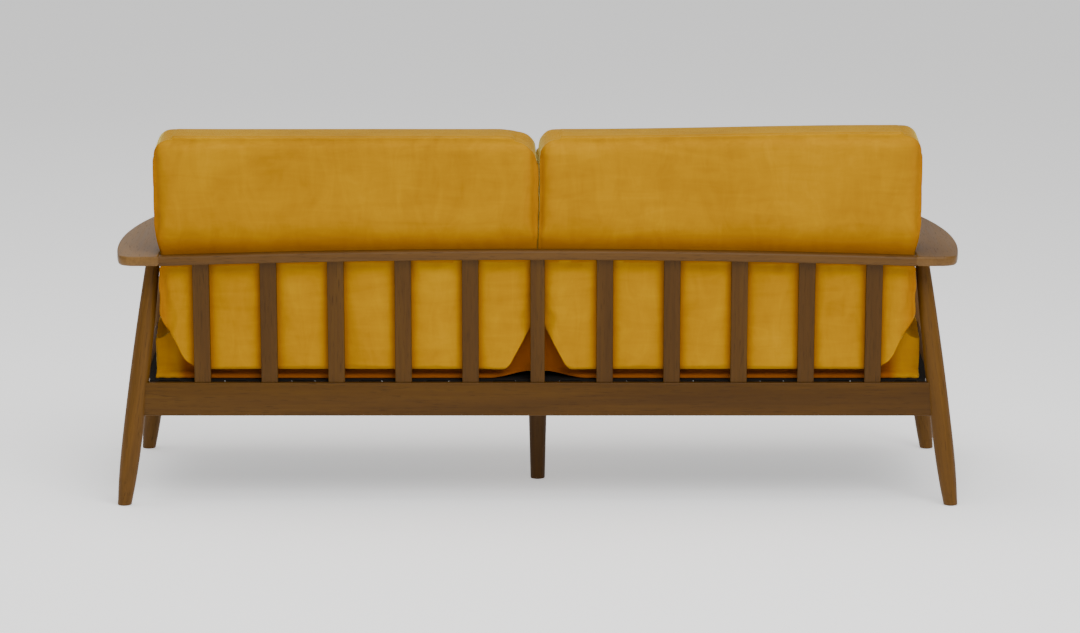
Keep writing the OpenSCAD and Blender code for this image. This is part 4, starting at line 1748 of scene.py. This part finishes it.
@dataclass
class SeatCushion(Cushion):
    """A boxed seat cushion: crowned on top, flat below, with a seam round its top and bottom panels.

    A pair of sizes is where a smooth step starts and ends, unless its name says waves or heights.
    """

    kind: ClassVar[str] = "seat"
    cap: float = 0.020
    fill: float = 0.8
    ease: tuple[float, float, float] = (0.010, 0.010, 0.007)
    grow: tuple[float, float, float] = (0.013, 0.015, 0.010)
    panel_inset: float = 0.002
    seam_inset: float = 0.006
    gather_waves: tuple[float, float] = (190, 55)
    gather_from_corner: float = 0.075
    gather_from_edge: float = 0.06
    gather_heights: tuple[float, float] = (0.0034, 0.0018)
    slack_waves: tuple[float, float, float] = (21, 1.7, 9)
    slack_depth: float = 0.05
    slack_height: float = 0.0010
    twin_gap: float = 0.0005
    twin_wave: float = 0.0040
    twin_waves: tuple[float, float] = (9, 30)
    leg_level: float = 0.43
    leg_room: float = 0.060
    side_swell: float = 0.006
    rear_gap: float = 0.0006
    rear_reach: float = 0.055
    rear_bulge: float = 0.026
    bulge_top: tuple[float, float] = (0.010, 0.018)
    inner_corner: tuple[float, float] = (0.012, 0.110)
    corner_lift: float = 0.012
    under_back: tuple[float, float] = (0.150, 0.215)
    outer_corner: tuple[float, float] = (0.795, 0.850)
    corner_depth: float = 0.110
    corner_drop: float = 0.028
    top_gap: float = 0.0008
    crown_room: float = 0.040
    # Where the painted shade on the rear boxing fades, in depth and across, and how much of it there is.
    crushed_depth: tuple[float, float] = (0.002, 0.030)
    crushed_side: tuple[float, float] = (0.775, 0.815)
    crushed_share: tuple[float, float] = (0.15, 1.1)

    def sew(self, points: np.ndarray, cut: np.ndarray, normals: np.ndarray) -> np.ndarray:
        """Draws in the seams round the top and bottom panels and gathers the corners.

        Args:
            points: The filled shape.
            cut: Where each point was on the foam.
            normals: The filled shape's normals.

        Returns:
            The sewn shape.
        """
        plan = self.shop.plan
        local, flat = self.frame_of(points), self.frame_of(cut)
        low, high = self.frame_of(np.array([list(corner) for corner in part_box(self.foam)]))
        x0, x1 = sorted((low[0], high[0]))
        d0, d1 = plan.seat_rear + self.panel_inset, plan.seat_rear + plan.seat_depth - self.panel_inset
        h0, h1 = plan.seat_low + self.panel_inset, plan.seat_high - self.panel_inset
        edge = np.minimum.reduce([flat[:, 0] - x0, x1 - flat[:, 0], flat[:, 1] - d0, d1 - flat[:, 1]])
        for level in (h0 + self.seam_inset, h1 - self.seam_inset):
            points = points + normals * seam(np.hypot(edge, flat[:, 2] - level))[:, None]
        ends = [(x, d) for x in (x0, x1) for d in (d0, d1)]
        corner = np.minimum.reduce([np.hypot(flat[:, 0] - x, flat[:, 1] - d) for x, d in ends])
        turn = np.arctan2(flat[:, 1] - (d0 + d1) / 2, flat[:, 0] - (x0 + x1) / 2)
        round_it, up = self.gather_waves
        ripple = np.sin(turn * round_it + flat[:, 2] * up)
        ripple *= fading(corner, self.gather_from_corner) * fading(edge, self.gather_from_edge)
        over, bend, forward = self.slack_waves
        slack = np.sin(flat[:, 0] * over + bend * np.sin(flat[:, 1] * forward))
        slack *= fading(local[:, 2] - h1, self.slack_depth)
        gathered = np.where(flat[:, 1] < (d0 + d1) / 2, *self.gather_heights)
        return points + normals * (gathered * ripple + self.slack_height * slack)[:, None]

    def settle(self, points: np.ndarray, cut: np.ndarray) -> np.ndarray:
        """Rests it on the deck, beside its twin, between the legs and under the back cushion.

        Args:
            points: The sewn shape.
            cut: Where each point was on the foam.

        Returns:
            The settled shape.
        """
        plan = self.shop.plan
        rear = plan.seat_rear
        local = self.frame_of(points)
        sign = self.side.value
        forward, up = self.twin_waves
        wave = sign * self.twin_wave * np.sin(local[:, 1] * forward + local[:, 2] * up)
        across = held_above(local[:, 0] * sign, self.twin_gap + wave, soft=0.0015)
        near_leg = fading(points[:, 1] + plan.leg_reach(self.leg_level) - plan.shift, self.leg_room)
        packed_side = max(abs(corner.x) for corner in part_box(self.cover))
        across = held_below(across, packed_side + self.side_swell * (1 - near_leg))
        local[:, 0] = across * sign
        at_rear = 1 - smooth_step(local[:, 1], rear, rear + self.rear_reach)
        inboard = 1 - smooth_step(across, *self.inner_corner)
        bulge = self.rear_bulge * (1 - smooth_step(local[:, 2], *self.bulge_top)) * (1 - inboard)
        local[:, 1] = held_above(local[:, 1] - bulge * at_rear, rear + self.rear_gap - bulge, soft=0.0025)
        local[:, 2] = held_above(local[:, 2], plan.seat_low + self.corner_lift * inboard * at_rear, soft=0.002)
        start, stop = self.under_back
        free = smooth_step(local[:, 1], rear + start, rear + stop)
        at_corner = smooth_step(across, *self.outer_corner)
        at_corner *= 1 - smooth_step(local[:, 1], rear, rear + self.corner_depth)
        top = plan.seat_high - self.top_gap + self.crown_room * free * (1 - at_corner) - self.corner_drop * at_corner
        local[:, 2] = held_below(local[:, 2], top)
        return self.unframe(local)

    def pressed(self, points: np.ndarray) -> np.ndarray:
        """Painted shade on the rear boxing, which lies in shadow under the back cushion.

        Args:
            points: The settled shape.

        Returns:
            The share for each point.
        """
        rear = self.shop.plan.seat_rear
        start, stop = self.crushed_depth
        behind = 1 - smooth_step(self.frame_of(points)[:, 1], rear + start, rear + stop)
        inboard = 1 - smooth_step(np.abs(points[:, 0]), *self.crushed_side)
        least, more = self.crushed_share
        return behind * (least + more * inboard)

    def zip_line(self) -> tuple[Vector, Vector, Vector]:
        """The zip runs along the middle of the rear boxing.

        Returns:
            Its two ends and the direction that its face looks in.
        """
        low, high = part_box(self.zip_node)
        middle = (low + high) / 2
        return Vector((low.x, middle.y, middle.z)), Vector((high.x, middle.y, middle.z)), Vector((0, 1, 0))


@dataclass
class BackCushion(Cushion):
    """A back cushion: it leans on the slats, swells over the crest rail and tucks in behind the seat.

    inner_edge and outer_edge are rows of a height and how far across the cushion reaches there.
    Another pair of sizes is where a smooth step starts and ends, unless its name says waves or heights.
    """

    kind: ClassVar[str] = "back"
    cap: float = 0.024
    fill: float = 0.85
    ease: tuple[float, float, float] = (0.009, 0.009, 0.009)
    grow: tuple[float, float, float] = (0.013, 0.004, 0.006)
    inner_edge: tuple[tuple[float, float], ...] = (
        (0.300, 0.080), (0.306, 0.070), (0.318, 0.0605), (0.340, 0.049), (0.370, 0.033),
        (0.400, 0.017), (0.425, 0.006), (0.445, -0.010), (0.900, -0.010),
    )
    outer_edge: tuple[tuple[float, float], ...] = (
        (0.300, 0.748), (0.306, 0.758), (0.314, 0.771), (0.324, 0.7844), (0.337, 0.7935), (0.364, 0.8055),
        (0.396, 0.8245), (0.415, 0.837), (0.440, 0.8445), (0.500, 0.8455), (0.530, 0.8425), (0.544, 0.8372),
        (0.574, 0.8372), (0.600, 0.8445), (0.640, 0.8512), (0.900, 0.8512),
    )
    inner_inset: float = 0.0023
    outer_inset: float = 0.0046
    above_arm: float = 0.014
    panel_height: float = 0.549
    panel_inset: float = 0.002
    seam_depths: tuple[float, float] = (0.004, 0.156)
    pucker_inset: tuple[float, float] = (0.02, 0.03)
    pucker_waves: tuple[float, float] = (17, 40)
    pucker_reach: float = 0.07
    pucker_start: tuple[float, float] = (0.008, 0.03)
    pucker_height: float = 0.0014
    slack_waves: tuple[float, float, float] = (17, 2.1, 6)
    slack_level: float = 0.62
    slack_reach: float = 0.16
    slack_height: float = 0.0010
    twin_gap: float = 0.0005
    twin_wave: float = 0.0045
    twin_waves: tuple[float, float] = (34, 6)
    side_phase: float = 0.01
    tuck_low: float = 0.2985
    leg_wrap: float = 0.0060
    leg_rear: tuple[float, float] = (0.312, 0.326)
    leg_low: tuple[float, float] = (0.41, 0.44)
    leg_high: tuple[float, float] = (0.530, 0.545)
    gap_swell: float = 0.0065
    below_crest: tuple[float, float] = (-0.035, -0.006)
    over_swell: float = 0.018
    over_crest: tuple[float, float] = (0.002, 0.085)
    slat_gap: float = 0.0008
    tuck_margin: float = 0.0004
    seat_gap: float = 0.0010
    top_lift: float = 0.021
    lifted: tuple[float, float] = (0.66, 0.815)
    crown_depth: float = 0.150
    crown_power: float = 1.2
    crown_drop: float = 0.012
    headroom: float = 0.001
    side_spread: float = 0.0140
    side_gap: float = 0.0016
    outer_round: float = 0.046
    inner_round: float = 0.050
    uneven: tuple[float, float] = (0.60, 0.84)
    uneven_base: float = -0.001
    left_rise: float = 0.009
    left_rises: tuple[float, float] = (0.05, 0.75)
    right_dip: float = 0.010
    right_dips: tuple[float, float] = (0.0, 0.09)

    def lean(self, z: np.ndarray) -> np.ndarray:
        """The slats' front faces at heights z."""
        plan = self.shop.plan
        return plan.back_foot_y + (z - plan.rail_top) * math.tan(plan.recline)

    def crest_low(self, x: np.ndarray) -> np.ndarray:
        """The crest rail's underside at distances x from the middle."""
        plan = self.shop.plan
        return plan.arm_bottom + plan.crest_rise * (1 - (x / plan.arm_inner) ** 2)

    def off_slats(self, x: np.ndarray) -> np.ndarray:
        """How far each x is from the nearest slat's edge.

        Args:
            x: The points' x.

        Returns:
            The distances, negative over a slat.
        """
        plan = self.shop.plan
        slats = range(1, plan.slat_count + 1)
        return np.minimum.reduce([np.abs(x - plan.slat_x(i)) - plan.slat_w(i) / 2 for i in slats])

    def sew(self, points: np.ndarray, cut: np.ndarray, normals: np.ndarray) -> np.ndarray:
        """Draws in the seams round the front and rear panels and gathers the lower corners.

        Args:
            points: The filled shape.
            cut: Where each point was on the foam.
            normals: The filled shape's normals.

        Returns:
            The sewn shape.
        """
        plan = self.shop.plan
        depth = (self.lean(cut[:, 2]) - cut[:, 1]) * math.cos(plan.recline)
        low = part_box(self.foam)[0].z
        sign = self.side.value
        across = cut[:, 0] * sign
        inner, outer = self.inner_inset, plan.arm_inner - self.outer_inset
        waist = np.where(cut[:, 2] > plan.arm_height, outer + self.above_arm, outer)
        top = plan.rail_top + self.panel_height * math.cos(plan.recline) + depth * math.sin(plan.recline)
        top -= self.panel_inset
        edge = np.minimum.reduce([across - inner, waist - across, top - cut[:, 2], cut[:, 2] - low])
        for level in self.seam_depths:
            points = points + normals * seam(np.hypot(edge, depth - level))[:, None]
        in_by, up_by = self.pucker_inset
        turns, phase = self.pucker_waves
        pucker = np.zeros(len(points))
        for x in (inner + in_by, outer - in_by):
            away = np.hypot(across - x, cut[:, 2] - (low + up_by))
            angle = np.arctan2(cut[:, 2] - low - up_by, across - x)
            fold = np.sin(angle * turns + x * phase)
            pucker += fold * fading(away, self.pucker_reach) * smooth_step(away, *self.pucker_start)
        up, bend, over = self.slack_waves
        slack = np.sin(cut[:, 2] * up + bend * np.sin(across * over + sign))
        slack *= fading(cut[:, 2] - self.slack_level, self.slack_reach)
        return points + normals * (self.pucker_height * pucker + self.slack_height * slack)[:, None]

    def settle(self, points: np.ndarray, cut: np.ndarray) -> np.ndarray:
        """Leans it on the slats and the crest, rests it on the seat cushion and keeps it beside its twin.

        Args:
            points: The sewn shape.
            cut: Where each point was on the foam.

        Returns:
            The settled shape.
        """
        plan = self.shop.plan
        sign = self.side.value
        x, y, z = points[:, 0] * sign, points[:, 1], points[:, 2]
        rearward, up = self.twin_waves
        wave = sign * self.twin_wave * np.sin((y + self.side_phase) * rearward + z * up)
        inner = np.interp(z, *np.array(self.inner_edge).T)
        x = held_above(x, np.maximum(self.twin_gap + wave, inner), soft=0.0015)
        z = held_above(z, self.tuck_low, soft=0.002)
        past_leg = smooth_step(y, *self.leg_rear) * smooth_step(z, *self.leg_low)
        past_leg *= 1 - smooth_step(z, *self.leg_high)
        x = held_below(x, np.interp(z, *np.array(self.outer_edge).T) + self.leg_wrap * past_leg)
        open_width = (plan.slat_pitch - plan.slat_width) / 2
        swell = self.gap_swell * np.sin(np.clip(self.off_slats(x * sign) / open_width, 0, 1) * math.pi / 2)
        crest = self.crest_low(x)
        start, stop = self.below_crest
        swell *= 1 - smooth_step(z, crest + start, crest + stop)
        start, stop = self.over_crest
        swell += self.over_swell * smooth_step(z, crest + plan.arm_thickness + start, crest + plan.arm_thickness + stop)
        y = held_below(y, self.lean(z) - self.slat_gap + swell, soft=0.0025)
        seat, flat = self.frame_of(np.stack([x * sign, y, z], axis=1)), self.frame_of(cut)
        tucked = flat[:, 1] < plan.seat_rear - self.tuck_margin
        low_down = flat[:, 2] < plan.seat_high + self.seat_gap
        behind = held_below(seat[:, 1], plan.seat_rear - self.seat_gap, soft=0.0025)
        lifted = held_above(seat[:, 2], plan.seat_high + self.seat_gap, soft=0.0025)
        seat[:, 1] = np.where(tucked & low_down, behind, seat[:, 1])
        seat[:, 2] = np.where(tucked, seat[:, 2], lifted)
        return self.top_line(self.unframe(seat), cut)

    def top_line(self, points: np.ndarray, cut: np.ndarray) -> np.ndarray:
        """Rounds the upper corners, and fills one cushion out a little taller than the other.

        Args:
            points: The settled shape.
            cut: Where each point was on the foam.

        Returns:
            The shape with its final top.
        """
        plan = self.shop.plan
        across = points[:, 0] * self.side.value
        if self.side is Side.LEFT:
            lift = self.uneven_base + self.left_rise * smooth_step(across, *self.left_rises)
        else:
            lift = self.uneven_base - self.right_dip * (1 - smooth_step(across, *self.right_dips))
        lift *= smooth_step(points[:, 2], *self.uneven)
        depth = (self.lean(cut[:, 2]) - cut[:, 1]) * math.cos(plan.recline)
        rearward = 1 - np.clip(depth / self.crown_depth, 0, 1) ** self.crown_power
        z = points[:, 2] + self.top_lift * rearward * smooth_step(cut[:, 2], *self.lifted)
        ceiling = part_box(self.cover)[1].z + self.headroom
        z = held_below(z, ceiling, soft=0.006)
        outer = plan.arm_inner - self.side_gap + self.side_spread
        drop = self.crown_drop * rearward
        for x, inward, radius in ((outer, -1, self.outer_round), (0.0, 1, self.inner_round)):
            across, lowered = rounded_corner(across, z + drop, (x, ceiling), (inward, -1), radius)
            z = lowered - drop
        return np.stack([across * self.side.value, points[:, 1], z + lift], axis=1)

    def pressed(self, points: np.ndarray) -> np.ndarray:
        """Painted shade along the crest rail, at the sides and beside each slat, where the frame shades the cushion.

        Args:
            points: The settled shape.

        Returns:
            The share for each point.
        """
        plan = self.shop.plan
        across, z = points[:, 0] * self.side.value, points[:, 2]
        crest = self.crest_low(across) + plan.arm_thickness
        at_crest = fading(np.maximum(z - crest - 0.004, 0), 0.030) * (z > crest - 0.03)
        outer = plan.arm_inner + self.side_spread * smooth_step(z, plan.arm_height, plan.arm_height + 0.07)
        at_side = fading(outer - across, 0.022) + 0.8 * fading(across, 0.022)
        near_slat = fading(np.maximum(self.off_slats(points[:, 0]), 0), 0.010)
        behind = smooth_step(points[:, 1] - self.lean(z), -0.05, -0.01)
        low = (z < crest) * near_slat * 0.6
        return behind * np.maximum(np.maximum(0.55 * at_crest, 0.5 * at_side), low)

    def zip_line(self) -> tuple[Vector, Vector, Vector]:
        """The zip runs along the face that rests on the seat cushion.

        Returns:
            Its two ends and the direction that its face looks in.
        """
        low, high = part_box(self.zip_node)
        middle = (low + high) / 2
        return Vector((low.x, middle.y, middle.z)), Vector((high.x, middle.y, middle.z)), Vector((0, 0, -1))


# ------------------------------------------------------------------ studio


@dataclass
class Studio:
    """A pale floor, soft light and the camera behind the sofa."""

    plan: Plan
    floor_size: float = 90.0
    camera_back: float = 10.9
    camera_height: float = 2.14
    camera_drop: float = math.radians(8.93)
    camera_side: float = -0.0054
    lens: float = 165.2
    sensor: float = 36.0
    sight: float = 200.0
    sky_strength: float = 0.42
    floor_glow: float = 0.55

    def build(self) -> None:
        """Sets up the floor, the lights and the camera."""
        self.floor()
        self.sky()
        self.lamp("key_softbox", (-1.6, 5.2, 4.6), (0, 0.2, 0.5), (5.0, 3.0), 320.0)
        self.lamp("top_softbox", (0.4, 0.6, 4.2), (0, 0.1, 0.5), (5.5, 3.5), 150.0)
        self.lamp("front_softbox", (1.5, -5.5, 3.6), (0, 0, 0.4), (4.0, 3.0), 15.0)
        self.camera()

    def floor(self) -> None:
        """Lays the floor."""
        bm = bmesh.new()
        bmesh.ops.create_grid(bm, x_segments=1, y_segments=1, size=self.floor_size / 2)
        mesh = bpy.data.meshes.new("floor")
        bm.to_mesh(mesh)
        bm.free()
        made = bpy.data.objects.new("floor", mesh)
        bpy.context.scene.collection.objects.link(made)
        shading = Shading("pale_floor")
        mottle = shading.noise(shading.place(), 0.8, 3.0)
        colour = shading.mix(mottle, (0.86, 0.86, 0.86), (0.90, 0.90, 0.90))
        glow = {"Emission_Color": (1.0, 1.0, 1.0), "Emission_Strength": self.floor_glow}
        mesh.materials.append(shading.surface_with(Base_Color=colour, Roughness=0.9, Specular_IOR_Level=0.1, **glow))

    def sky(self) -> None:
        """Lights the whole scene evenly."""
        world = bpy.data.worlds.new("studio")
        bpy.context.scene.world = world
        world.use_nodes = True
        background = world.node_tree.nodes["Background"]
        background.inputs["Color"].default_value = (1.0, 0.995, 0.985, 1.0)
        background.inputs["Strength"].default_value = self.sky_strength

    def lamp(
        self, name: str, place: Sequence[float], aim: Sequence[float], size: Sequence[float], power: float
    ) -> None:
        """Hangs one softbox.

        Args:
            name: Its name.
            place: Where it hangs.
            aim: The point that it faces.
            size: Its width and height.
            power: Its power in watts.
        """
        light = bpy.data.lights.new(name, "AREA")
        light.shape = "RECTANGLE"
        light.size, light.size_y = size
        light.energy = power
        made = bpy.data.objects.new(name, light)
        bpy.context.scene.collection.objects.link(made)
        made.location = place
        made.rotation_euler = (Vector(aim) - Vector(place)).to_track_quat("-Z", "Y").to_euler()

    def camera(self) -> None:
        """Stands the camera behind the sofa, a little above it."""
        data = bpy.data.cameras.new("camera")
        data.sensor_width = self.sensor
        data.lens = self.lens
        data.clip_end = self.sight
        made = bpy.data.objects.new("camera", data)
        bpy.context.scene.collection.objects.link(made)
        rear = self.plan.leg_reach(0) + self.plan.shift
        made.location = (self.camera_side, rear + self.camera_back, self.camera_height)
        made.rotation_euler = (math.pi / 2 - self.camera_drop, 0, math.pi)
        bpy.context.scene.camera = made


# ------------------------------------------------------------------ the whole sofa


@dataclass
class Sofa:
    """The whole sofa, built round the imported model."""

    shop: Workshop

    def build(self) -> None:
        """Builds each sub-assembly in order."""
        for part in (TurnedLegs, SeatFrame, SlattedBack, PaddleArms, Platform):
            LOG.info("building %s", part.__name__)
            part(self.shop).build()
        for kind in (SeatCushion, BackCushion):
            for side in Side:
                kind(self.shop, side).build()


def main() -> None:
    """Builds the sofa and its studio."""
    logging.basicConfig(level=logging.INFO, format="%(name)s: %(message)s")
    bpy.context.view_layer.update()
    low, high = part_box("foot_glides")
    plan = Plan(shift=(low.y + high.y) / 2)
    Sofa(Workshop(plan)).build()
    Studio(plan).build()
    bpy.context.view_layer.update()


if __name__ == "__main__":
    main()
